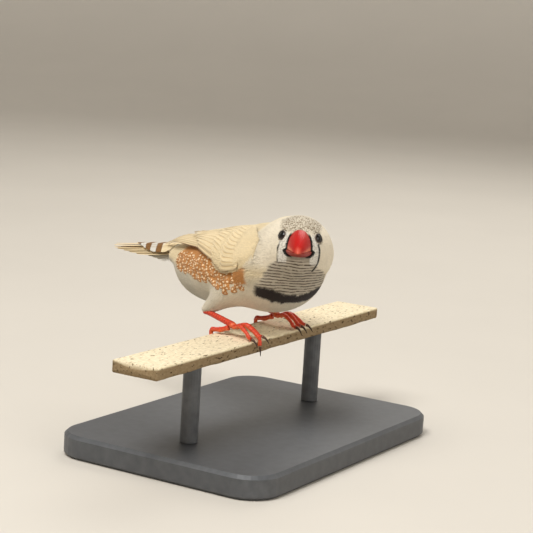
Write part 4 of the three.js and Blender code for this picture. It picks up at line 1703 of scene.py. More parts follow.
def thinned(spots: Array, spacing: float) -> Array:
    """Places left when those closer than a spacing to one already kept are dropped.

    Args:
        spots: Candidate places, in random order.
        spacing: The distance.

    Returns:
        The places kept.
    """
    cell = np.floor((spots - spots.min(0)) / spacing).astype(int) + 1
    shape = cell.max(0) + 2
    kept = np.full(shape, -1)
    flat = np.ravel_multi_index(cell.T, shape)
    shifts = [s for s in np.ndindex(3, 3, 3) if s != (1, 1, 1)]
    for start in range(4):
        for phase in np.ndindex(2, 2, 2):
            ready = np.flatnonzero(np.all(cell % 2 == np.array(phase), axis=1) & (kept.ravel()[flat] < 0))
            ready = np.roll(ready, start * ROLL)
            _, first = np.unique(flat[ready], return_index=True)
            ready = ready[first]
            good = np.ones(len(ready), bool)
            for shift in shifts:
                other = kept[tuple((cell[ready] + np.array(shift) - 1).T)]
                gap = np.linalg.norm(spots[ready] - spots[other], axis=1)
                good &= (other < 0) | (gap > spacing * CROWDING)
            kept.ravel()[flat[ready[good]]] = ready[good]
    return spots[kept[kept >= 0]]


@dataclass
class Coat:
    """Skin and small feathers of head, neck, body and thighs."""

    step: float = 0.5
    seed: int = 7
    tries: int = 1_600_000
    low: tuple[float, float, float] = (-47.5, -15.0, 3.0)
    high: tuple[float, float, float] = (30.5, 15.0, 40.5)
    tracts: tuple[Tract, ...] = (
        Tract("face_feathers", 0.18, 0.9, 0.115, 0.1, 0.0),
        Tract("crown_feathers", 0.2, 1.3, 0.13, 0.12),
        Tract("cheek_feathers", 0.2, 1.3, 0.13, 0.12),
        Tract("breast_feathers", 0.24, 2.1, 0.185, 0.09),
        Tract("back_feathers", 0.27, 2.6, 0.215, 0.09),
        Tract("belly_feathers", 0.27, 2.8, 0.215, 0.12),
        Tract("flank_down", 0.29, 2.8, 0.23, 0.11),
        Tract("thigh_feathers", 0.23, 1.8, 0.17, 0.12),
    )
    skin_shell: Shell = field(init=False)

    def build(self) -> None:
        """Makes the skin and then every tract."""
        self.make_skin()
        roots = self.scatter()
        kinds = self.kinds(roots)
        for number, tract in enumerate(self.tracts):
            here = thinned(roots[kinds == number], tract.spacing)
            self.make_tract(tract, here)

    def make_skin(self) -> None:
        """One skin over torso, neck, head and thighs, with fine wrinkles."""
        shell = surface_net(FLESH.skin, self.low, self.high, self.step)
        shell.points = settle(FLESH.skin, shell.points, 0.0, 2)
        shell.points -= slope(FLESH.skin, shell.points) * (0.05 * grain(shell.points, 0.8, 21))[:, None]
        shell.tint, shell.marks = PLUMAGE.paint(shell.points)
        shell.patch = self.sheet(FLESH.chart(shell.points))
        self.skin_shell = shell
        under = ("torso", "neck", "head", "thigh_left", "thigh_right")
        make_piece("skin", shell, SKIN_COAT, Slot.PLUMAGE, under)

    def sheet(self, chart: Array) -> Array:
        """Chart places stretched to fill the sheet."""
        low, high = chart.min(0), chart.max(0)
        return 0.01 + 0.98 * (chart - low) / (high - low + 1e-9)

    def scatter(self) -> Array:
        """Many random places on the skin, even by area."""
        rng = np.random.default_rng(self.seed)
        quads = self.skin_shell.faces[0]
        p = self.skin_shell.points
        tris = np.concatenate([quads[:, [0, 1, 2]], quads[:, [0, 2, 3]]])
        a, b, c = p[tris[:, 0]], p[tris[:, 1]], p[tris[:, 2]]
        area = np.linalg.norm(np.cross(b - a, c - a), axis=1) / 2
        pick = rng.choice(len(tris), self.tries, p=area / area.sum())
        u, v = rng.random(len(pick)), rng.random(len(pick))
        flip = u + v > 1
        u, v = np.where(flip, 1 - u, u), np.where(flip, 1 - v, v)
        spots = a[pick] + (b - a)[pick] * u[:, None] + (c - a)[pick] * v[:, None]
        return spots[self.open_places(spots)]

    def open_places(self, spots: Array) -> Array:
        """Which places can carry a feather: not under a wing, in an eye, the bill or the tail's root."""
        free = ~WINGS.covers(spots, 14.0)
        for gap in EYES.gaps(spots):
            free &= gap > EYES.radius + 0.3
        free &= ~BILL_FORM.holds(spots)
        return free & (spots[:, 0] > -43.5)

    def kinds(self, spots: Array) -> Array:
        """Number of the tract that each place belongs to."""
        local = HEAD.inside(spots)
        f, u = local[:, 0], local[:, 2]
        out = slope(FLESH.depth, spots)
        head = FLESH.head_share(spots) > 0.5
        face, crown, cheek, breast, back, belly, flank, thigh = range(len(self.tracts))
        kind = np.full(len(spots), flank)
        kind[out[:, 2] > 0.25] = back
        kind[out[:, 2] < -0.45] = belly
        kind[(spots[:, 0] > 4.0) & (out[:, 0] > -0.1) & (out[:, 2] < 0.6)] = breast
        kind[head & (u > 1.5)] = crown
        kind[head & (u <= 1.5)] = cheek
        kind[head & (f > 2.6)] = face
        kind[(FLESH.thigh_share(spots) > 0.5) & ~head] = thigh
        return kind

    def make_tract(self, tract: Tract, roots: Array) -> None:
        """Makes a tract's feathers over the skin as one piece of closed tapering tufts."""
        coat = FLESH.coat(roots)
        bald = np.ones(len(roots))
        for gap in EYES.gaps(roots):
            bald = np.minimum(bald, 0.42 + 0.58 * rises(gap, 2.0, 2.4))
        rng = np.random.default_rng(self.seed + 5)
        ramp = self.wing_ramp(roots)
        tip = tract.lift + 0.08 * coat * rng.random(len(roots)) - 0.04 + ramp
        levels = [-coat - 0.06, -0.3 * coat + 0.4 * ramp, -0.07 * coat + 0.8 * ramp, tip]
        lay = Lay(FLESH.depth, FLESH.lie, levels, bald)
        points, out = lay_tufts(tract, roots, lay)
        keep = self.clear_of_parts(points)
        tuft_piece(tract, points[keep], out[keep], self.sheet(FLESH.chart(roots[keep])), PLUMAGE.paint)

    def wing_ramp(self, roots: Array) -> Array:
        """How far feathers just ahead of a wing's front edge stand up, so that they run onto it."""
        turn = WINGS.turn_of(roots)
        x = roots[:, 0]
        beside = (0.8 + 0.2 * rises(turn, 28.0, 18.0)) * falls(turn, 112.0, 18.0)
        return 0.95 * beside * falls(x, 15.5, 4.0) * (x > 5.0)

    def clear_of_parts(self, points: Array) -> Array:
        """Which feathers stay clear of the eyes and the bill."""
        good = np.ones(len(points), bool)
        for side, gap in zip((1, -1), EYES.gaps(points)):
            front = (points - EYES.middle(side)) @ EYES.axis(side)
            good &= (gap.min(1) > EYES.radius + 0.14) | (front.max(1) < 0.2)
        return good & ~BILL_FORM.holds(points).any(1)



# Wings and tail


def closed_vanes(upper: Array, lower: Array) -> Shell:
    """Thin closed feathers between an upper and a lower grid of points.

    Args:
        upper: Points by feather, station along, place across, and x, y, z.
        lower: The same for the underside.

    Returns:
        The shell; each feather has its own patch of the sheet.
    """
    count, along, across = upper.shape[:3]
    block = along * across
    top = rings_to_faces(along, across, closed=False)
    bottom = top[:, ::-1] + block
    edge = [i * across for i in range(along)]
    far = [i * across + across - 1 for i in range(along)]
    start, end = list(range(across)), [(along - 1) * across + j for j in range(across)]
    loop = start + far[1:] + end[::-1][1:] + edge[::-1][1:-1]
    ring = np.array(loop)
    after = np.roll(ring, -1)
    rim = np.stack([after, ring, ring + block, after + block], -1)
    rows = np.concatenate([top, bottom, rim])
    faces = (rows[None] + 2 * block * np.arange(count)[:, None, None]).reshape(-1, 4)
    points = np.stack([upper.reshape(count, block, 3), lower.reshape(count, block, 3)], 1).reshape(-1, 3)
    u, v = np.meshgrid(np.linspace(0, 1, along), np.linspace(0, 1, across), indexing="ij")
    local = np.tile(np.stack([v.ravel(), u.ravel()], -1), (2 * count, 1))
    wide = math.ceil(math.sqrt(count))
    number = np.repeat(np.arange(count), 2 * block)
    corner = np.stack([number % wide, number // wide], -1)
    patch = (corner + 0.06 + 0.88 * local) / wide
    return outward(Shell(points, [faces], vane=local, patch=patch))


VANE_OUTLINE = Profile((0, 0.2, 0.55, 0.8, 0.9, 0.96, 1.0), (0.5, 0.9, 1.0, 0.88, 0.7, 0.46, 0.14))
SMALL_OUTLINE = Profile((0, 0.3, 0.65, 0.85, 0.95, 1), (0.5, 0.9, 1, 0.8, 0.5, 0.2))
SHAFT_HALF = 0.14


@dataclass(frozen=True)
class Tier:
    """A tier of wing feathers.

    Args:
        name: Name in the log.
        count: How many feathers.
        lie: Height out from the body near the tips.
        rows: First and last row.
        roots: Roots along the body for the first to the last row.
        tips: Tips along the body.
        brown: How brown its lowest feather is: partly its darker outer web, partly painted shade along the
            wing's lower edge.
        wide: Half width over the spacing.
        tilt: How far one edge lies above the other.
    """

    name: str
    count: int
    lie: float
    rows: tuple[float, float]
    roots: tuple[float, ...]
    tips: tuple[float, ...]
    brown: float
    wide: float = 0.8
    tilt: float = 0.13


@dataclass
class Wing:
    """One folded wing: a core under tiers of overlapping vanes, with small coverts at the front."""

    side: int
    name: str
    thick: float = 0.1
    stations: int = 20
    across: int = 11
    coverts: int = 60_000
    covert_edge: Profile = Profile((0, 3.5, 7), (-3, -4.4, -5.4))
    covert_height: Profile = Profile((-8, -3, 4, 11.5), (2.1, 2.15, 2.05, 1.15))
    tiers: tuple[Tier, ...] = (
        Tier("primaries", 8, 1.2, (0, 4.2), (-13,), (-45, -44.4, -43, -41.2, -39.2, -37.2, -35.4, -34), 0.9),
        Tier("secondaries", 10, 1.72, (0, 6.3), (-3,), (-19, -22, -25, -27.6, -29.6, -30.6, -28.5), 0.85),
        Tier("greater_coverts", 12, 2.0, (0, 6.4), (2,), (-8, -9.4, -10.8, -12, -13, -13.6, -13.4), 0.6),
        Tier("median_coverts", 12, 2.14, (0.2, 6.0), (6.0, 5.6, 4.8), (-2, -3, -4, -4.8, -5.6, -6), 0.3),
    )

    def build(self) -> None:
        """Makes the core, the tiers and the small coverts."""
        shells = [self.core()]
        for number, tier in enumerate(self.tiers):
            shells.append(self.vanes(tier, number))
        make_piece(f"wing_{self.name}_vanes", gather(shells), WING_VANES, Slot.WING, (f"wing_{self.name}",))
        self.small_coverts()

    def core(self) -> Shell:
        """Smooth core that holds the roots."""
        x = np.linspace(WINGS.front, WINGS.core_end, 40)[:, None]
        w = np.linspace(0, 1, 18)[None, :]
        low = WINGS.clear + 0.1
        level = low + (WINGS.core_level(x) - 0.25 - low) * np.sin(np.pi * np.clip(w, 0.02, 0.98)) ** 0.6
        upper = WINGS.point(x, WINGS.rows * w, level, self.side)
        lower = WINGS.point(x, WINGS.rows * w, np.full_like(level, WINGS.clear), self.side)
        shell = closed_vanes(upper[None], lower[None])
        shell.vane = shell.vane * np.array([0.0, 1.0]) + np.array([0.3, 0.0])
        shell.tint = np.broadcast_to(COLOURS.wing * 0.86, shell.points.shape).copy()
        shell.patch = shell.patch * 0.02
        return shell

    def vanes(self, tier: Tier, number: int) -> Shell:
        """One tier of vanes.

        Args:
            tier: The tier.
            number: Its place among them.

        Returns:
            The shell.
        """
        LOG.info("%s wing, %s: %d feathers", self.name, tier.name, tier.count)
        rng = np.random.default_rng(40 + number)
        share = np.linspace(0, 1, tier.count)
        row = (tier.rows[0] + 0.5 + (tier.rows[1] - tier.rows[0]) * share)[:, None, None]
        root = np.interp(share, np.linspace(0, 1, len(tier.roots)), tier.roots)[:, None, None]
        tip = np.interp(share, np.linspace(0, 1, len(tier.tips)), tier.tips)[:, None, None]
        tip = tip + 0.25 * rng.standard_normal(tip.shape)
        pitch = (tier.rows[1] - tier.rows[0]) / (tier.count - 1)
        t = (np.linspace(0, 1, self.stations) ** 0.85)[None, :, None]
        s = np.linspace(-1, 1, self.across)[None, None, :]
        half = tier.wide * pitch * 1.15 * VANE_OUTLINE(t)
        x = root + (tip - root) * t * (1 - 0.012 * s * s)
        r = half * s
        sunk = np.minimum(WINGS.core_level(x) - 0.3, tier.lie)
        level = sunk + (tier.lie - sunk) * smooth(t / 0.75)
        level = level - tier.tilt * s * smooth(t / 0.5) + 0.05 * (1 - s * s)
        level = level + 0.04 * (1 - np.minimum(np.abs(s) / SHAFT_HALF, 1.0))
        level = level - 0.45 * smooth((1.6 - row - r) / 1.6) * smooth(t / 0.4) * (tier.lie - 0.6)
        where = np.clip(row + r, 0, WINGS.rows)
        thick = self.thick * (1 - 0.55 * rises(t, 0.7, 0.3)) * (1 - 0.55 * np.abs(s) ** 3)
        upper = WINGS.point(x, where, level + thick / 2, self.side)
        lower = WINGS.point(x, where, level - thick / 2, self.side)
        for grid in (upper, lower):
            pull = falls(grid[..., 0], -32.0, 13.0)
            grid[..., 1] *= 1 - 0.36 * pull
            grid[..., 2] -= 1.1 * pull
        shell = closed_vanes(upper, lower)
        shell.tint = self.tint(shell, np.repeat(share, 2 * self.stations * self.across), number)
        shell.patch = self.sheet(shell.patch, number)
        return shell

    def sheet(self, patch: Array, number: int) -> Array:
        """A tier's quarter of the sheet."""
        corner = np.array([(number % 2) * 0.5, (number // 2 % 2) * 0.5])
        return 0.02 + (corner + 0.48 * patch) * 0.98

    def tint(self, shell: Shell, share: Array, number: int) -> Array:
        """Colour of a tier: buff with paler edges, and a browner lowest feather that is partly its darker
        outer web and partly painted shade along the wing's lower edge.
        """
        aside = np.abs(shell.vane[:, 0] - 0.5) * 2
        rng = np.random.default_rng(90 + number)
        tone = 0.94 + 0.1 * rng.random(64)[(share * 63).astype(int)]
        tint = blend_rows(COLOURS.wing, COLOURS.wing_edge, rises(aside, 0.5, 0.5) * 0.35)
        tint = blend_rows(tint, COLOURS.wing_edge, rises(shell.vane[:, 1], 0.8, 0.2) * 0.3)
        # Brown on the lowest feather's outer web: partly the web's own darker colour, partly painted shade
        # along the wing's lower edge.
        low = falls(share, 0.16, 0.1) * falls(shell.vane[:, 0], 0.3, 0.16)
        tint = blend_rows(tint, COLOURS.wing_low_brown_and_shade, self.tiers[number].brown * low)
        return tint * tone[:, None]

    def small_coverts(self) -> None:
        """Soft small coverts over the front of the wing, laid like the body's feathers."""
        tract = Tract(f"wing_{self.name}_coverts", 0.27, 2.6, 0.19, 0.08)
        rng = np.random.default_rng(61)
        x = WINGS.front + 0.1 - 17.0 * rng.random(self.coverts)
        row = WINGS.rows * rng.random(self.coverts)
        spots = WINGS.point(x, row, WINGS.core_level(x) - 0.3, self.side)
        edge = self.covert_edge(row) + 0.6 * rng.standard_normal(len(row))
        picked = thinned(spots[x > edge], tract.spacing)
        x = picked[:, 0]
        low_edge = smooth((WINGS.low(x) - WINGS.turn_of(picked)) / 12.0)
        core = 0.5 + (WINGS.core_level(x) - 0.5) * (0.35 + 0.65 * low_edge)
        lie = self.covert_height(x) * (0.45 + 0.55 * low_edge)
        levels = [core - 0.35, core - 0.05, np.maximum(lie - 0.14, core), np.maximum(lie, core + 0.1)]
        lay = Lay(UNDER_WING.depth, lie_back(0.06), levels, np.ones(len(picked)))
        points, out = lay_tufts(tract, picked, lay)
        sheet = np.stack([(x - x.min()) / (x.max() - x.min()), WINGS.turn_of(picked) / 110.0], -1)
        tuft_piece(tract, points, out, 0.01 + 0.97 * np.clip(sheet, 0, 1), wing_paint, Slot.WING)


def lie_back(rise: float) -> Measure:
    """A lie straight back along the body.

    Args:
        rise: How much the lie climbs on its way.

    Returns:
        A function that gives the lie at points.
    """
    way = np.array([-1.0, 0.0, rise])

    def lie(points: Array) -> Array:
        """The lie at each point."""
        out = slope(UNDER_WING.depth, points)
        return unit(way - out * (out @ way)[:, None])

    return lie


def wing_paint(points: Array) -> tuple[Array, Array]:
    """Colour of the wing's small coverts and of the mantle: buff, a little cloudy."""
    cloud = grain(points * [0.5, 1, 1], 2.4, 8)
    tint = blend_rows(COLOURS.wing, COLOURS.back, 0.5 + 0.5 * cloud)
    return tint, np.zeros_like(tint)


@dataclass
class Mantle:
    """Long soft feathers of the back that run over the wings' upper edges."""

    tract: Tract = Tract("mantle_feathers", 0.33, 4.2, 0.25, 0.07)
    front: float = 9.0
    back: float = -33.0
    tried: int = 60_000
    reach: Profile = Profile((-33, -26, -18, -4, 5, 9), (7, 13, 19, 28, 35, 46))

    def build(self) -> None:
        """Makes the mantle as one piece."""
        rng = np.random.default_rng(71)
        x = self.back + (self.front - self.back) * rng.random(self.tried)
        turn = np.radians((2 * rng.random(self.tried) - 1) * self.reach(x))
        start = np.stack([x, np.zeros_like(x), WINGS.axis(x)], -1)
        way = np.stack([np.zeros_like(x), np.sin(turn), np.cos(turn)], -1)
        keep = cast(UNDER_WING, start, way, np.full(len(x), 0.5))
        roots = thinned(keep, self.tract.spacing)
        x = roots[:, 0]
        aside = WINGS.turn_of(roots) / self.reach(x)
        ramp = smooth((self.front + 0.5 - x) / 7.0)
        high = 0.75 + 1.35 * ramp * (1 - 0.8 * falls(x, -17.0, 13.0))
        high = high * (1 - 0.12 * np.clip(aside, 0, 1) ** 2)
        high = high * (1 - 0.5 * falls(x, -24.0, 9.0))
        levels = [0.2 * high, 0.62 * high, 0.93 * high, high + 0.05]
        lay = Lay(UNDER_WING.depth, lie_back(0.1), levels, 0.8 + 0.2 * falls(x, 5, 8))
        points, out = lay_tufts(self.tract, roots, lay)
        over = np.clip(roots[:, 1] / 14 + 0.5, 0, 1)
        sheet = np.stack([(x - x.min()) / (x.max() - x.min()), over], -1)
        tuft_piece(self.tract, points, out, 0.01 + 0.97 * sheet, wing_paint)


@dataclass
class Flank:
    """Larger chestnut feathers along the flank, each with two pale spots near its tip.

    Args:
        side: +1 for the left one, -1 for the right one.
        name: Its side in words.
        spacing: Distance between roots.
        length: Length of a feather.
        half: Its half width.
        thick: Its thickness.
        stations: Points along it.
        across: Points across it.
        sunk: Depth of the roots under the coat's outer form.
        sag: How far its edges hang.
        shaft: Height of its shaft.
        shaft_half: Half width of its shaft as a share of the feather's.
        top: Upper edge of the chestnut band along the body.
    """

    side: int
    name: str
    spacing: float = 1.6
    length: float = 4.2
    half: float = 1.2
    thick: float = 0.09
    stations: int = 19
    across: int = 15
    sunk: float = -0.75
    sag: float = 0.21
    shaft: float = 0.05
    shaft_half: float = 0.15
    top: Profile = Profile((-32, -26, -12, -4, 8), (21.6, 22.2, 22.2, 21, 20.5))

    def build(self) -> None:
        """Makes one flank's feathers as one piece."""
        roots = self.roots()
        t = np.linspace(0, 1, self.stations)
        s = np.linspace(-1, 1, self.across)
        rng = np.random.default_rng(29)
        size = 0.88 + 0.24 * rng.random(len(roots))
        turn = 0.12 * rng.standard_normal(len(roots))
        here, grid, outs = roots, [], []
        for number, share in enumerate(t):
            out = slope(FLESH.depth, here)
            way = FLESH.lie(here)
            across = np.cross(out, way)
            way = way * np.cos(turn)[:, None] + across * np.sin(turn)[:, None]
            across = np.cross(out, way)
            if number:
                here = here + way * (self.length * size / (self.stations - 1))[:, None]
            here = settle(FLESH.depth, here, self.sunk + float(smooth(share / 0.9)), 1)
            wide = self.half * size * float(SMALL_OUTLINE(share))
            row = here[:, None] + across[:, None] * (wide[:, None] * s)[..., None]
            sag = self.sag * wide[:, None] / self.half * s * s - self.shaft * (np.abs(s) < self.shaft_half)
            grid.append(row - out[:, None] * sag[..., None])
            outs.append(out)
        middle = np.stack(grid, 1)
        out = np.stack(outs, 1)[:, :, None]
        taper = (1 - 0.5 * t)[None, :, None, None]
        thick = self.thick * (1 - 0.6 * np.abs(s) ** 3)[None, None, :, None] * taper
        shell = closed_vanes(middle + out * thick / 2, middle - out * thick / 2)
        shell.tint = self.tint(shell, len(roots))
        make_piece(f"flank_{self.name}_spotted", shell, WING_VANES, Slot.PLUMAGE)

    def roots(self) -> Array:
        """Roots in staggered rows along the chestnut band."""
        rng = np.random.default_rng(23)
        spots = []
        for number, x in enumerate(np.arange(8.5, -29.5, -self.spacing)):
            low = PLUMAGE.flank_low(x) + 0.3 + 0.5 * self.spacing * (number % 2)
            for z in np.arange(low, self.top(x), self.spacing * 0.95):
                along = x + 0.2 * rng.standard_normal()
                spots.append((along, self.side * 12.0, z + 0.15 * rng.standard_normal()))
        points = np.array(spots)
        for _ in range(6):
            points = settle(FLESH.depth, points, self.sunk, 1)
        return points[points[:, 1] * self.side > 5.0]

    def tint(self, shell: Shell, count: int) -> Array:
        """Chestnut with two oval pale spots, paler at the very edge."""
        u, v = shell.vane[:, 0], shell.vane[:, 1]
        rng = np.random.default_rng(31)
        each = 2 * self.stations * self.across
        tone = np.repeat(0.84 + 0.3 * rng.random(count), each)
        place = np.repeat(0.79 + 0.03 * rng.standard_normal(count), each)
        bold = np.repeat(0.35 + 0.6 * (rng.random(2 * count) > 0.2), each).reshape(2, -1)
        spot, below = np.zeros(len(u)), np.zeros(len(u))
        for number, middle in enumerate((0.27, 0.73)):
            gap = np.hypot((u - middle) / 0.145, (v - place) / 0.085)
            spot = np.maximum(spot, bold[number] * falls(gap, 1.2, 0.4))
            ring = np.hypot((u - middle) / 0.24, (v - place - 0.015) / 0.135)
            below = np.maximum(below, falls(ring, 1.15, 0.35))
        tint = blend_rows(COLOURS.chestnut * 0.62, COLOURS.chestnut, rises(v, 0.15, 0.6))
        tint = blend_rows(tint, COLOURS.chestnut * np.array([0.45, 0.4, 0.38]), 0.55 * below)
        return np.clip(blend_rows(tint, COLOURS.spot, spot) * tone[:, None], 0, 1)


@dataclass
class Tail:
    """Twelve tail feathers with barred upper and white under coverts, over a short core.

    Args:
        root: Where the feathers start along the body.
        tip: Where the longest ends.
        root_height: Height of the top line at the root.
        tip_height: Height at the tip.
        roof: Fall of the blades outwards, in degrees.
        layer: Height between two pairs.
        blade: Outer edge of the first pair from the middle line.
        spread: How much further each next pair reaches.
        over: Height of the coverts over the feathers.
        thick: Thickness of a feather.
        stations: Points along a feather.
        across: Points across it.
        bar_pitch: Distance between bars.
        bar_at: Place of one bar behind the body's middle.
        upper_ends: Tip, inner edge and outer edge of each pair of upper coverts.
        under_ends: The same for the under coverts.
    """

    root: float = -37.3
    tip: float = -79.0
    root_height: float = 20.4
    tip_height: float = 14.1
    roof: float = 13.0
    layer: float = 0.38
    blade: float = 2.4
    spread: float = 0.4
    over: float = 0.62
    thick: float = 0.14
    stations: int = 48
    across: int = 9
    bar_pitch: float = 6.4
    bar_at: float = 56.0
    upper_ends: tuple[tuple[float, ...], ...] = (
        (-64.5, 0.1, 1.9),
        (-63.0, 0.5, 2.6),
        (-61.0, 1.0, 3.2),
        (-58.5, 1.5, 3.8),
        (-56.0, 2.0, 4.3),
        (-53.5, 2.3, 4.6),
        (-50.5, 2.2, 4.6),
        (-47.5, 1.7, 4.3),
    )
    under_ends: tuple[tuple[float, ...], ...] = (
        (-60.0, 0.15, 2.5),
        (-57.0, 0.15, 2.8),
        (-54.0, 0.15, 3.1),
        (-51.0, 0.15, 3.4),
        (-48.0, 0.15, 3.8),
    )

    def height(self, x: Array) -> Array:
        """Height of the tail's top line."""
        fall = self.tip_height - self.root_height
        return self.root_height + fall * (x - self.root) / (self.tip - self.root)

    def vane(
        self,
        side: int,
        tip: float,
        inner: float,
        outer: float,
        down: float,
        fall: float,
        drape: float = 0.0,
    ) -> tuple[Array, Array]:
        """Upper and lower grids of one feather.

        Args:
            side: +1 for the left.
            tip: Where it ends along the body.
            inner: Its inner edge from the middle line.
            outer: Its outer edge.
            down: How far it lies below the top line.
            fall: Fall of the blade outwards, in degrees.
            drape: Further fall beyond the blades' middle, as a slope, where it hangs over their sides.

        Returns:
            The two grids.
        """
        t = np.linspace(0, 1, self.stations)[:, None]
        s = np.linspace(-1, 1, self.across)[None, :]
        start = self.root - 1.2
        x = start + (tip - start) * t * (1 - 0.01 * s * s)
        wide = (outer - inner) / 2 * VANE_OUTLINE(t)
        middle = 0.6 + ((outer + inner) / 2 - 0.6) * smooth(t / 0.45)
        off = middle + wide * s
        z = self.height(x) - down * smooth(t / 0.4 + 0.3)
        z = z - math.tan(math.radians(fall)) * np.maximum(off, 0)
        z = z - drape * np.maximum(off - 2.3, 0)
        z = z + 0.06 * (1 - s * s) + 0.06 * (1 - np.minimum(np.abs(s) / SHAFT_HALF, 1.0))
        thick = self.thick * (1 - 0.5 * rises(t, 0.7, 0.3)) * (1 - 0.55 * np.abs(s) ** 3)
        base = np.stack([x, side * off, z], -1)
        lift = np.array([0.0, 0.0, 1.0]) * (thick / 2)[..., None]
        return base + lift, base - lift

    def build(self) -> None:
        """Makes the core, the feathers and the coverts."""
        rng = np.random.default_rng(17)
        grids = [
            self.vane(1, self.tip, -1.5, 2.4, 0.0, 0.0),
            self.vane(-1, self.tip + 0.6, -1.2, 2.7, self.layer, 4.0),
        ]
        for k in range(1, 6):
            for side in (1, -1):
                tip = self.tip + 1.7 * k**1.4 + 0.3 * rng.standard_normal()
                outer = self.blade + self.spread * k
                grids.append(self.vane(side, tip, 0.15, outer, self.layer * (k + 1), self.roof))
        blades = closed_vanes(*np.array(grids).swapaxes(0, 1))
        aside = np.abs(blades.vane[:, 0] - 0.5) * 2
        blades.tint = blend_rows(COLOURS.tail_shade, COLOURS.tail, 0.35 + 0.65 * rises(aside, 0.2, 0.6))
        downs = [-self.over - 0.06 * k for k in range(len(self.upper_ends))]
        upper = self.coverts(self.upper_ends, downs, 0.95)
        upper.tint = self.barred(upper.points)
        downs = [self.layer * 6 + self.over * (1 + 0.6 * k) for k in range(len(self.under_ends))]
        under = self.coverts(self.under_ends, downs, 0.0)
        under.tint = np.broadcast_to(COLOURS.white, under.points.shape).copy()
        shells = [blades, upper, under, self.core()]
        for number, shell in enumerate(shells):
            corner = np.array([(number % 2) * 0.5, (number // 2) * 0.5])
            shell.patch = 0.01 + (corner + 0.48 * shell.patch) * 0.98
        make_piece("tail_feathers", gather(shells), TAIL_VANES, Slot.TAIL, ("tail",))

    def barred(self, points: Array) -> Array:
        """Colour of the upper coverts: brown bars with darker rims across white."""
        x, z = points[:, 0], points[:, 2]
        fall = self.height(x) + self.over - z
        wave = np.cos(2 * np.pi * (x - 0.75 * fall + self.bar_at) / self.bar_pitch)
        bar = rises(wave, -0.1, 0.22) * rises(x, -65.5, 1.5) * falls(x, -43.0, 3)
        white = rises(x, -64, 4.0) * falls(x, -45, 4.0)
        tint = blend_rows(COLOURS.tail, COLOURS.white * 0.84, white)
        tint = blend_rows(COLOURS.back, tint, falls(x, -43, 5.0))
        rim = rises(wave, -0.05, 0.22) * falls(wave, 0.45, 0.4)
        brown = blend_rows(COLOURS.rump_bar, COLOURS.rump_bar * 0.55, rim)
        return blend_rows(tint, brown, bar)

    def coverts(self, ends: tuple[tuple[float, ...], ...], downs: list[float], drape: float) -> Shell:
        """Coverts in pairs, each given by its tip and its inner and outer edges."""
        grids = []
        for (tip, inner, outer), down in zip(ends, downs):
            for side in (1, -1):
                grids.append(self.vane(side, tip + 0.3 * side, inner, outer, down, self.roof, drape))
        return closed_vanes(*np.array(grids).swapaxes(0, 1))

    def core(self) -> Shell:
        """Short core that holds the roots."""
        t = np.linspace(0, 1, 16)[:, None]
        turn = (2 * np.pi * np.arange(24) / 24)[None, :]
        x = self.root + (-47.0 - self.root) * t
        up, down, wide = 1.6 - 1.1 * t, 3.6 - 1.4 * t, 4.0 - 1.8 * t
        s = np.sin(turn)
        z = self.height(x) - 1 + np.where(s > 0, up, down) * s
        shell = loft(np.stack([x + 0 * turn, wide * np.cos(turn), z], -1))
        count = len(shell.points)
        shell.tint = np.broadcast_to(COLOURS.cream, (count, 3)).copy()
        shell.vane = np.full((count, 2), 0.3)
        shell.patch = np.stack([np.linspace(0, 1, count), np.full(count, 0.5)], -1)
        return shell


# Bill, eyes and lids


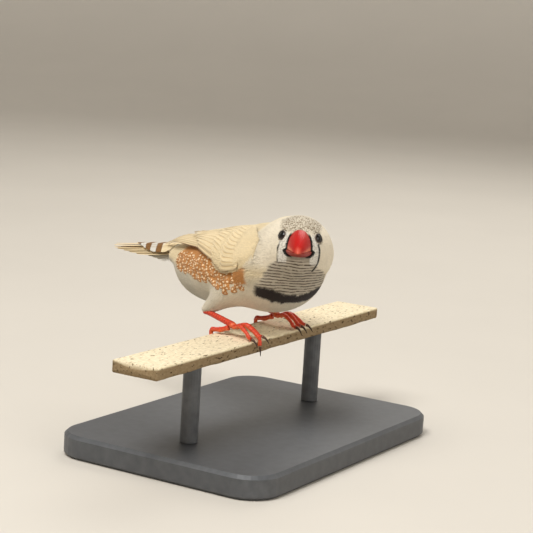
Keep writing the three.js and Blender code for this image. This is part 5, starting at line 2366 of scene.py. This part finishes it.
@dataclass
class Bill:
    """Both halves of the bill, with nostrils."""

    gap: float = 0.12
    stations: int = 56
    arc: int = 40
    nostril: tuple[float, float, float] = (0.9, 2.1, 2.6)
    nostril_radius: float = 0.55

    def build(self) -> None:
        """Makes both halves."""
        make_piece("bill_upper_horn", self.half_bill(True), BILL_HORN, Slot.BILL, ("bill_upper",))
        make_piece("bill_lower_horn", self.half_bill(False), BILL_HORN, Slot.BILL, ("bill_lower",))

    def half_bill(self, upper: bool) -> Shell:
        """One half as a closed shell.

        Args:
            upper: Whether it is the upper half.

        Returns:
            The shell, tinted.
        """
        form = BILL_FORM
        last = 1.0 if upper else form.bite
        t = np.concatenate([[0.0, 0.0], last * np.linspace(0, 1, self.stations)[1:] ** 0.9])
        x = np.where(np.arange(len(t)) == 0, -form.root, t * form.length)
        sink = np.where(np.arange(len(t)) == 0, 0.8, 1.0)
        half, top, low, mouth = form.at(t)
        edge = mouth + (self.gap / 2 if upper else -self.gap / 2)
        reach = np.maximum((top - edge if upper else edge - low) * sink, 0.12)
        turn = np.pi * np.linspace(0, 1, self.arc + 1)
        c, s = np.cos(turn), np.sin(turn)
        share, flat, tall = (form.over, 0.9, 0.95) if upper else (form.under, 0.8, 0.85)
        y = (half * sink * share)[:, None] * np.sign(c) * np.abs(c) ** flat
        rise = reach[:, None] * np.abs(s) ** tall
        z = edge[:, None] + (rise if upper else -rise)
        across = np.broadcast_to(x[:, None], y.shape)
        if upper:
            y, z = self.with_nostrils(across, y, z)
        shell = loft(form.place(across, y, z))
        along = np.concatenate([np.repeat(t, self.arc + 1), [0, last]])
        to_edge = np.concatenate([np.tile(np.abs(s), len(t)), [0, 0.5]])
        # Paler near the cutting edges: partly the edges' own paler horn, partly a painted reflection on them.
        # Paler at the tip: a painted highlight. Both go into the pale colour mixed in below.
        pale = falls(to_edge, 0.3, 0.26) * falls(along, 0.95, 0.5) * (0.9 if upper else 0.15)
        tip_highlight = rises(along, 0.78, 0.22) * (0.4 if upper else 0.5)
        streak = 0.12 * grain(shell.points, 0.5, 44)
        light = np.clip(np.maximum(pale, tip_highlight) + streak * (pale > 0.02), 0, 1)
        tint = blend_rows(COLOURS.bill if upper else COLOURS.bill_deep, COLOURS.bill_pale_edge_and_highlight, light)
        deep = falls(along, 0.08, 0.08) * 0.6
        shell.tint = blend_rows(tint, COLOURS.bill_deep * 0.6, deep)
        return shell

    def with_nostrils(self, x: Array, y: Array, z: Array) -> tuple[Array, Array]:
        """The upper half's section with a dent at each nostril."""
        along, out, high = self.nostril
        for side in (1, -1):
            gap = np.sqrt((x - along) ** 2 + (y - side * out) ** 2 + (z - high) ** 2)
            dent = 0.55 * smooth((self.nostril_radius + 0.25 - gap) / 0.45)
            y, z = y - side * dent * 0.7, z - dent * 0.7
        return y, z


@dataclass
class Eye:
    """One eye: the wet ball and the rim of its lids.

    Args:
        side: +1 for the left one, -1 for the right one.
        name: Its side in words.
        open_deg: Half opening of the lids as an angle about the ball's middle.
        section: Across the rim: degrees past the opening, height off the ball, tone, and share of pale skin.
    """

    side: int
    name: str
    open_deg: float = 39.5
    section: tuple[tuple[float, ...], ...] = (
        (-2, 0.04, 0.4, 0),
        (-1.4, 0.11, 0.5, 0),
        (0, 0.18, 0.7, 0),
        (2.5, 0.24, 0.9, 0),
        (5, 0.26, 1, 0),
        (7.5, 0.22, 0.9, 0.1),
        (9, 0.18, 0.7, 0.3),
        (12, 0.22, 1, 0.6),
        (15, 0.19, 1, 0.8),
        (18, 0.13, 1, 0.9),
        (22, 0.08, 1, 0.9),
        (34, 0.03, 1, 0.9),
        (10, 0.03, 0.6, 0),
    )

    def build(self) -> None:
        """Makes the ball and the lids."""
        self.ball()
        self.lids()

    def frame(self) -> tuple[Array, Array, Array, Array]:
        """Middle of the ball, its way out, and its forward and up ways."""
        middle, out = EYES.middle(self.side), EYES.axis(self.side)
        ahead = HEAD.axes()[0]
        ahead = unit(ahead - out * (ahead @ out))
        up = np.cross(out, ahead) * (1 if self.side < 0 else -1)
        return middle, out, ahead, up if up[2] > 0 else -up

    def ball(self) -> None:
        """The eyeball, its pupil and iris turned out."""
        middle, out, ahead, up = self.frame()
        turn = np.radians(np.linspace(1.5, 178.5, 60))[:, None]
        round_ = (2 * np.pi * np.arange(64) / 64)[None, :]
        radial = np.cos(round_)[..., None] * ahead + np.sin(round_)[..., None] * up
        rings = middle + EYES.radius * (np.cos(turn)[..., None] * out + np.sin(turn)[..., None] * radial)
        shell = loft(rings)
        polar = np.degrees(np.arccos(np.clip(unit(shell.points - middle) @ out, -1, 1)))
        iris = rises(polar, 31, 4) * falls(polar, 49, 5)
        shell.tint = blend_rows(COLOURS.pupil, COLOURS.iris, iris)
        make_piece(f"eyeball_{self.name}", shell, EYE_WET, Slot.EYE, (f"eye_{self.name}",))

    def lids(self) -> None:
        """Rim of the lids: an almond ring of two soft folds with tiny beads along its edge."""
        middle, out, ahead, up = self.frame()
        round_ = 2 * np.pi * np.arange(96) / 96
        opening = self.open_deg + 3.5 * np.cos(2 * round_) - 2.5 * np.sin(round_)
        rings = []
        for angle, radial in zip(opening, np.cos(round_)[:, None] * ahead + np.sin(round_)[:, None] * up):
            bead = 1 + 0.07 * math.sin(len(rings) * 2 * math.pi / 4)
            ring = []
            for extra, lift, _, _ in self.section:
                a = math.radians(angle + extra)
                reach = EYES.radius + lift * (bead if 2 <= extra <= 9 else 1.0)
                ring.append(middle + reach * (math.cos(a) * out + math.sin(a) * radial))
            rings.append(ring)
        points = np.array(rings)
        count, sides = points.shape[:2]
        i, j = np.meshgrid(np.arange(count), np.arange(sides), indexing="ij")
        a, b = i * sides + j, i * sides + (j + 1) % sides
        c, d = ((i + 1) % count) * sides + (j + 1) % sides, ((i + 1) % count) * sides + j
        shell = outward(Shell(points.reshape(-1, 3), [np.stack([a, b, c, d], -1).reshape(-1, 4)]))
        tone, pale = np.tile(np.array(self.section)[:, 2:], (count, 1)).T
        shell.tint = blend_rows(COLOURS.lid * tone[:, None], COLOURS.cream * 0.8, pale)
        make_piece(f"eyelids_{self.name}", shell, LID_SKIN, Slot.LID, (f"lids_{self.name}",))


# Legs


def scutes(along: Array, front: Array, rise: float, cut: float) -> Array:
    """Height of overlapping scutes.

    Args:
        along: Place along the limb, counted in scutes.
        front: Share of each place that carries them.
        rise: Rise of a scute from its root to its edge.
        cut: Depth of the cut behind the edge.

    Returns:
        The height as a share of the limb's radius.
    """
    step = along % 1.0
    return front * (rise * (step - 0.5) - cut * (step > 0.9))


@dataclass(frozen=True)
class Toe:
    """One toe.

    Args:
        number: 1 is the hind toe.
        spread: Turn from the foot's own way, in degrees.
        aside: Where it leaves the pad, to the side.
        arch: Rise of its middle.
        more: How much further than the others it bends down past the edge.
        thick: Its radius.
        back: Whether it points back.
        scutes: Number of its scutes.
    """

    number: int
    spread: float
    aside: float
    arch: float
    more: float
    thick: float
    back: bool = False
    scutes: int = 11


@dataclass
class Leg:
    """Scaled shank, toes and claws of one foot."""

    foot: Foot
    lath_half: float = 7.6
    gap: float = 0.3
    hind_root: float = 2.4
    hind_over: float = 1.4
    claw_length: float = 2.9
    claw_thick: float = 0.5
    shank_radius: float = 0.82
    scutes: int = 13
    toes: tuple[Toe, ...] = (
        Toe(1, -3, 0.0, -1.2, 0.2, 0.8, True, 8),
        Toe(2, -18, 1.1, 1.0, -0.9, 0.66),
        Toe(3, 1, 0.0, 1.4, 0.0, 0.72),
        Toe(4, 19, -1.1, 1.0, -0.8, 0.64),
    )

    def build(self) -> None:
        """Makes every part of the foot."""
        self.shank()
        for toe in self.toes:
            self.toe(toe)
            self.claw(toe)

    def shank(self) -> None:
        """Shank with overlapping scutes in front and small scales behind, and the pad below it."""
        palm, heel = self.foot.palm(), self.foot.heel()
        top = heel - unit(heel - palm) * 0.5

        def radius(t: Array, turn: Array) -> Array:
            """Radius at a share of the length and an angle."""
            front = smooth((np.sin(turn) + 0.25) / 0.6)
            scute = scutes(t * self.scutes, front, 0.15, 0.12)
            small = 0.03 * (1 - front) * np.sin(t * 90.0) * np.sin(turn * 9.0)
            joint = 0.25 * falls(t, 0.12, 0.1)
            return self.shank_radius * (1 + joint) * (1 + 0.15 * t) * (1 + scute + small)

        tube_shell = tube(np.array([top, (top + palm) / 2, palm]), radius, 150, 28)
        t, turn = tube_shell.vane[:, 1], tube_shell.vane[:, 0]
        # Painted shade: the grooves between the front scutes are darkened with the leg's shaded tone.
        groove = ((t * self.scutes) % 1.0 > 0.86) * smooth((0.3 - np.abs(turn - 0.25)) / 0.1)
        tube_shell.tint = blend_rows(COLOURS.leg, COLOURS.leg_shaded, 0.85 * groove)
        whole = gather([tube_shell, self.pad(palm)])
        side = self.foot.name
        make_piece(f"shank_{side}", whole, LEG_SKIN, Slot.LEG, (f"tarsus_{side}",))

    def pad(self, palm: Array) -> Shell:
        """Warty pad under the toes' roots."""
        turn = np.radians(np.linspace(3, 177, 30))[:, None]
        around = (2 * np.pi * np.arange(36) / 36)[None, :]
        way = np.stack(
            [np.sin(turn) * np.cos(around), np.sin(turn) * np.sin(around), np.cos(turn) + 0 * around], -1
        )
        radius = (self.foot.palm_radius - self.gap) * (1 + 0.06 * grain(way * 3.0, 0.45, 12))[..., None]
        shell = loft(palm + np.array([0, 0, -0.2]) + way * radius * np.array([1.0, 0.95, 0.8]))
        shell.tint = np.broadcast_to(COLOURS.leg_pale * 0.9, shell.points.shape).copy()
        shell.vane = np.full((len(shell.points), 2), 0.5)
        return shell

    def curve(self, toe: Toe) -> Array:
        """Knots of a toe's middle line: along the lath's top, then down past its edge."""
        way = 1 if toe.back else -1
        foot = self.foot
        slant = math.tan(math.radians(foot.turn + toe.spread * foot.side * -way))
        rest, aside = toe.thick + self.gap, toe.aside * foot.side
        start = foot.across + way * math.sqrt(foot.palm_radius**2 - aside**2)
        over = (self.hind_over if toe.back else foot.over) + toe.more
        across = way * (self.lath_half + (rest if over > 0.4 else -0.3))
        end = (1.0, -over if over > 0.4 else rest * 0.95)
        root = self.hind_root if toe.back else foot.height - 0.1
        knots = [
            (0.0, root),
            (0.35, max(root + toe.arch * 0.7, rest)),
            (0.72, max(root * 0.58 + toe.arch * 0.45, rest)),
            (0.95, rest * 0.85) if over > 0.4 else (0.9, rest * 1.1),
            end,
        ]
        return np.array(
            [
                STANCE.from_lath(
                    foot.along + aside * (1 - share) + slant * (across - foot.across) * share,
                    start + (across - start) * share,
                    z,
                )
                for share, z in knots
            ]
        )

    def toe(self, toe: Toe) -> None:
        """A toe with scutes above and pads below."""
        knots = self.curve(toe)

        def radius(t: Array, turn: Array) -> Array:
            """Radius at a share of the length and an angle."""
            above = smooth((np.sin(turn) + 0.15) / 0.5)
            below = smooth((-np.sin(turn) - 0.1) / 0.5)
            scute = scutes(t * toe.scutes, above, 0.12, 0.1)
            pads = 0.1 * below * np.cos(t * 6 * np.pi) + 0.03 * below * np.sin(t * 70.0) * np.sin(turn * 8)
            return toe.thick * (1 - 0.2 * t) * (1 + 0.04 * np.cos(t * 6 * np.pi)) * (1 + scute + pads - 0.02)

        shell = tube(knots, radius, 110, 24)
        t, turn = shell.vane[:, 1], shell.vane[:, 0]
        above = smooth((0.3 - np.abs(turn - 0.25)) / 0.1)
        # Painted shade: the grooves between the upper scutes and the last tenth of the toe are darkened with
        # the leg's shaded tone.
        groove = ((t * toe.scutes) % 1.0 > 0.84) * above
        tint = blend_rows(COLOURS.leg_pale, COLOURS.leg, above)
        tint = blend_rows(tint, COLOURS.leg_shaded, 0.85 * groove)
        shell.tint = blend_rows(tint, COLOURS.leg_shaded, 0.5 * rises(t, 0.9, 0.1))
        name = f"toe_{toe.number}_{self.foot.name}"
        make_piece(f"{name}_scaled", shell, LEG_SKIN, Slot.LEG, (name,))

    def claw(self, toe: Toe) -> None:
        """A claw curving on down from the toe's tip."""
        knots = self.curve(toe)
        down = unit(knots[4] - knots[3])
        out = STANCE.from_lath(0, 1 if toe.back else -1, 0)
        steep = min(max(-down[2], 0.0), 1.0)
        start = knots[4] + down * self.gap * 1.2
        drop = unit(np.array([0, 0, -0.75]) + 0.25 * down)
        path = [
            start
            + down * self.claw_length * 0.34 * t
            + out * (1 - steep) * 0.9 * math.sin(t * math.pi * 0.5)
            + drop * self.claw_length * 0.62 * t * t
            for t in (0, 0.3, 0.65, 1)
        ]

        def radius(t: Array, turn: Array) -> Array:
            """Radius at a share of the length and an angle."""
            flat = 1 - 0.12 * np.abs(np.cos(turn)) + 0.05 * (np.sin(turn) > 0.6)
            return self.claw_thick * (1 - 0.84 * t**1.1) * flat

        shell = tube(np.array(path), radius, 40, 20)
        shell.tint = blend_rows(COLOURS.claw, COLOURS.claw_tip, smooth(shell.vane[:, 1] / 0.8))
        name = f"claw_{toe.number}_{self.foot.name}"
        make_piece(f"{name}_horn", shell, CLAW_HORN, Slot.CLAW, (name,))


# Lath and stand


@dataclass
class Lath:
    """Cut length of rough lath under the feet."""

    length: float = 124.0
    width: float = 15.2
    thick: float = 3.6
    round_edge: float = 0.3
    step: float = 0.42

    def build(self) -> None:
        """Makes the lath with chipped edges, a torn side and rough faces."""
        count = int(self.length / self.step)
        x = np.linspace(-self.length / 2, self.length / 2, count + 1)
        section = self.section()
        rings = np.empty((len(x), len(section), 3))
        rings[..., 0] = x[:, None]
        rings[..., 1:] = section[None]
        points = rings.reshape(-1, 3)
        rough = 0.05 * grain(points * [0.5, 1, 1], 0.55, 31) + 0.09 * grain(points * [0.25, 1, 1], 2.2, 32)
        y, z = points[:, 1], points[:, 2]
        from_side = y + self.width / 2
        torn = 0.22 * np.maximum(grain(points * [0.35, 1, 1], 1.4, 33), -0.2)
        chips = rises(grain(points * [0.4, 0, 0], 1.8, 34), 0.1, 0.4)
        top_edge = falls(np.hypot(from_side, z), 0.9, 0.7)
        low_edge = falls(np.hypot(from_side, z + self.thick), 0.9, 0.7)
        inward = rough * 0.5 + falls(from_side, 0.9, 0.6) * (torn - 0.12)
        inward += 0.3 * chips * top_edge + 0.2 * low_edge
        toward = unit(np.stack([np.clip(-y / 2.0, -1, 1) * (np.abs(y) > 6.6), -self.thick / 2 - z], -1))
        points[:, 1:] += toward * np.maximum(inward, 0.0)[:, None]
        shell = loft(points.reshape(rings.shape))
        y, z = shell.points[:, 1], shell.points[:, 2]
        top = rises(z, -0.45, 0.3)
        tint = blend_rows(COLOURS.lath_side, COLOURS.lath_top, top)
        edge = smooth((0.7 - np.hypot(y + self.width / 2, z)) / 0.4)
        shell.tint = blend_rows(tint, COLOURS.lath_edge, 0.8 * edge)
        make_piece("lath_rough", shell, LATH_WOOD, Slot.LATH, ("perch",), on_lath=True)

    def section(self) -> Array:
        """Outline of the lath's cross-section as evenly spaced points."""
        w, h, r = self.width / 2, self.thick, self.round_edge
        corners = [(-w + r, 0), (w - r, 0), (w, -r), (w, -h + r)]
        corners += [(-y, -h - z) for y, z in corners]
        out = []
        for (y0, z0), (y1, z1) in zip(corners, corners[1:] + corners[:1]):
            steps = max(int(math.hypot(y1 - y0, z1 - z0) / self.step), 1)
            out += [(y0 + (y1 - y0) * k / steps, z0 + (z1 - z0) * k / steps) for k in range(steps)]
        return np.array(out)


@dataclass
class Stand:
    """Plain display stand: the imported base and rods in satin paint."""

    nodes: tuple[str, ...] = ("stand_base", "stand_rod_1", "stand_rod_2")

    def build(self) -> None:
        """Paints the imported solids."""
        for name in self.nodes:
            node = bpy.data.objects[name]
            for slot in node.material_slots:
                slot.material = STAND_PAINT.material()
            LOG.info("%s: painted", name)


# Studio


@dataclass(frozen=True)
class FloorFinish(Finish):
    """Plain pale floor and a backdrop that is lit a little from within."""

    def dress(self, tree: Tree, shader: Node) -> None:
        """Adds a faint unevenness and a painted glow of the backdrop that grows with height."""
        pale = srgb(206, 200, 190)
        self.clouded(tree, shader, pale, 14.0, 0.03)
        height = tree.nodes.new("ShaderNodeSeparateXYZ")
        link(tree, self.place(tree), height.inputs[0])
        glow = between(tree, height.outputs["Z"], 0.0, 0.5)
        link(tree, mixed(tree, glow, np.zeros(3), pale), shader.inputs["Emission Color"])
        put(shader, Emission_Strength=0.42)


@dataclass(frozen=True)
class Lamp:
    """One soft square lamp aimed at the bird.

    Args:
        name: Its name.
        at: Place in metres.
        size: Side of its square.
        power: Watts.
        tint: Colour.
    """

    name: str
    at: tuple[float, float, float]
    size: float
    power: float
    tint: tuple[float, float, float]

    def build(self) -> None:
        """Hangs it."""
        data = bpy.data.lights.new(self.name, "AREA")
        data.size, data.energy, data.color = self.size, self.power, self.tint
        lamp = bpy.data.objects.new(self.name, data)
        bpy.context.scene.collection.objects.link(lamp)
        lamp.location = self.at
        way = Vector((0.0, 0.0, 0.05)) - Vector(self.at)
        lamp.rotation_euler = way.to_track_quat("-Z", "Y").to_euler()


@dataclass
class Studio:
    """Floor, lights, world and the camera at the photograph's angle.

    Args:
        eye: The camera's place in millimetres from the middle of the lath's top.
        azimuth: Way that it looks, in degrees.
        pitch: How far it looks down, in degrees.
        roll: Its lean, in degrees.
        focal_pixels: Focal length in pixels of the picture.
        image_pixels: Side of the picture.
        sensor: Width of the sensor in millimetres.
        sides: Sides of the round floor.
        floor_profile: Radius and height of each of its rings, in metres.
        lamps: The lamps.
    """

    eye: tuple[float, float, float] = (-426.55, -261.12, 104.39)
    azimuth: float = 31.3
    pitch: float = 9.6
    roll: float = -3.5
    focal_pixels: float = 1700.0
    image_pixels: float = 533.0
    sensor: float = 36.0
    sides: int = 72
    floor_profile: tuple[tuple[float, float], ...] = (
        (0.3, 0.0),
        (1.15, 0.0),
        (1.45, 0.05),
        (1.65, 0.2),
        (1.76, 0.45),
        (1.8, 0.8),
        (1.8, 2.2),
    )
    lamps: tuple[Lamp, ...] = (
        Lamp("key", (-0.45, 0.0, 0.8), 0.42, 7.2, (1.0, 0.99, 0.97)),
        Lamp("fill", (-0.15, -0.95, 0.42), 0.6, 2.2, (1.0, 0.99, 0.975)),
        Lamp("rim", (0.6, 0.1, 0.6), 0.5, 2.4, (1.0, 0.985, 0.95)),
    )

    def build(self) -> None:
        """Makes all of it."""
        self.floor()
        self.lights()
        self.camera()

    def floor(self) -> None:
        """Round floor whose edge curves up into a backdrop far away on every side."""
        turn = 2 * np.pi * np.arange(self.sides) / self.sides
        circle = np.stack([np.cos(turn), np.sin(turn), np.zeros(self.sides)], -1)
        rings = [circle * r + np.array([0.0, 0.0, z]) for r, z in self.floor_profile]
        points = np.concatenate([*rings, np.zeros((1, 3))])
        middle = len(points) - 1
        faces = rings_to_faces(len(rings), self.sides)[:, ::-1].tolist()
        faces += [(middle, j, (j + 1) % self.sides) for j in range(self.sides)]
        mesh = bpy.data.meshes.new("floor")
        mesh.from_pydata(points.tolist(), [], faces)
        mesh.polygons.foreach_set("use_smooth", [True] * len(faces))
        mesh.materials.append(FloorFinish("studio_floor", 0.9).material())
        floor = bpy.data.objects.new("floor", mesh)
        bpy.context.scene.collection.objects.link(floor)

    def lights(self) -> None:
        """Large soft lamps and a pale world."""
        for lamp in self.lamps:
            lamp.build()
        world = bpy.data.worlds.new("studio_world")
        world.use_nodes = True
        put(world.node_tree.nodes["Background"], Color=(0.9, 0.93, 1.0, 1.0), Strength=0.22)
        bpy.context.scene.world = world
        bpy.context.scene.view_settings.view_transform = "Standard"

    def camera(self) -> None:
        """Camera at the photograph's angle and framing."""
        a, p, r = (math.radians(v) for v in (self.azimuth, self.pitch, self.roll))
        look, up = np.array([math.cos(a), math.sin(a), 0.0]), np.array([0.0, 0.0, 1.0])
        right = np.cross(look, up)
        ahead = look * math.cos(p) - up * math.sin(p)
        over = up * math.cos(p) + look * math.sin(p)
        right, over = right * math.cos(r) - over * math.sin(r), over * math.cos(r) + right * math.sin(r)
        data = bpy.data.cameras.new("photo_camera")
        data.sensor_width = self.sensor
        data.lens = self.focal_pixels / self.image_pixels * self.sensor
        data.clip_start, data.clip_end = 0.01, 20.0
        camera = bpy.data.objects.new("photo_camera", data)
        at = (np.array(self.eye) + STANCE.origin()) * MM
        columns = np.stack([right, over, -ahead], 1)
        rows = [[*columns[i], at[i]] for i in range(3)]
        camera.matrix_world = Matrix([*rows, [0.0, 0.0, 0.0, 1.0]])
        bpy.context.scene.collection.objects.link(camera)
        bpy.context.scene.camera = camera


def main() -> None:
    """Builds every part in order."""
    logging.basicConfig(level=logging.INFO, format="%(message)s")
    Coat().build()
    for side, name in ((-1, "right"), (1, "left")):
        Wing(side, name).build()
        Flank(side, name).build()
        Eye(side, name).build()
    Mantle().build()
    Tail().build()
    Bill().build()
    for foot in FEET:
        Leg(foot).build()
    Lath().build()
    Stand().build()
    Studio().build()


if __name__ == "__main__":
    main()
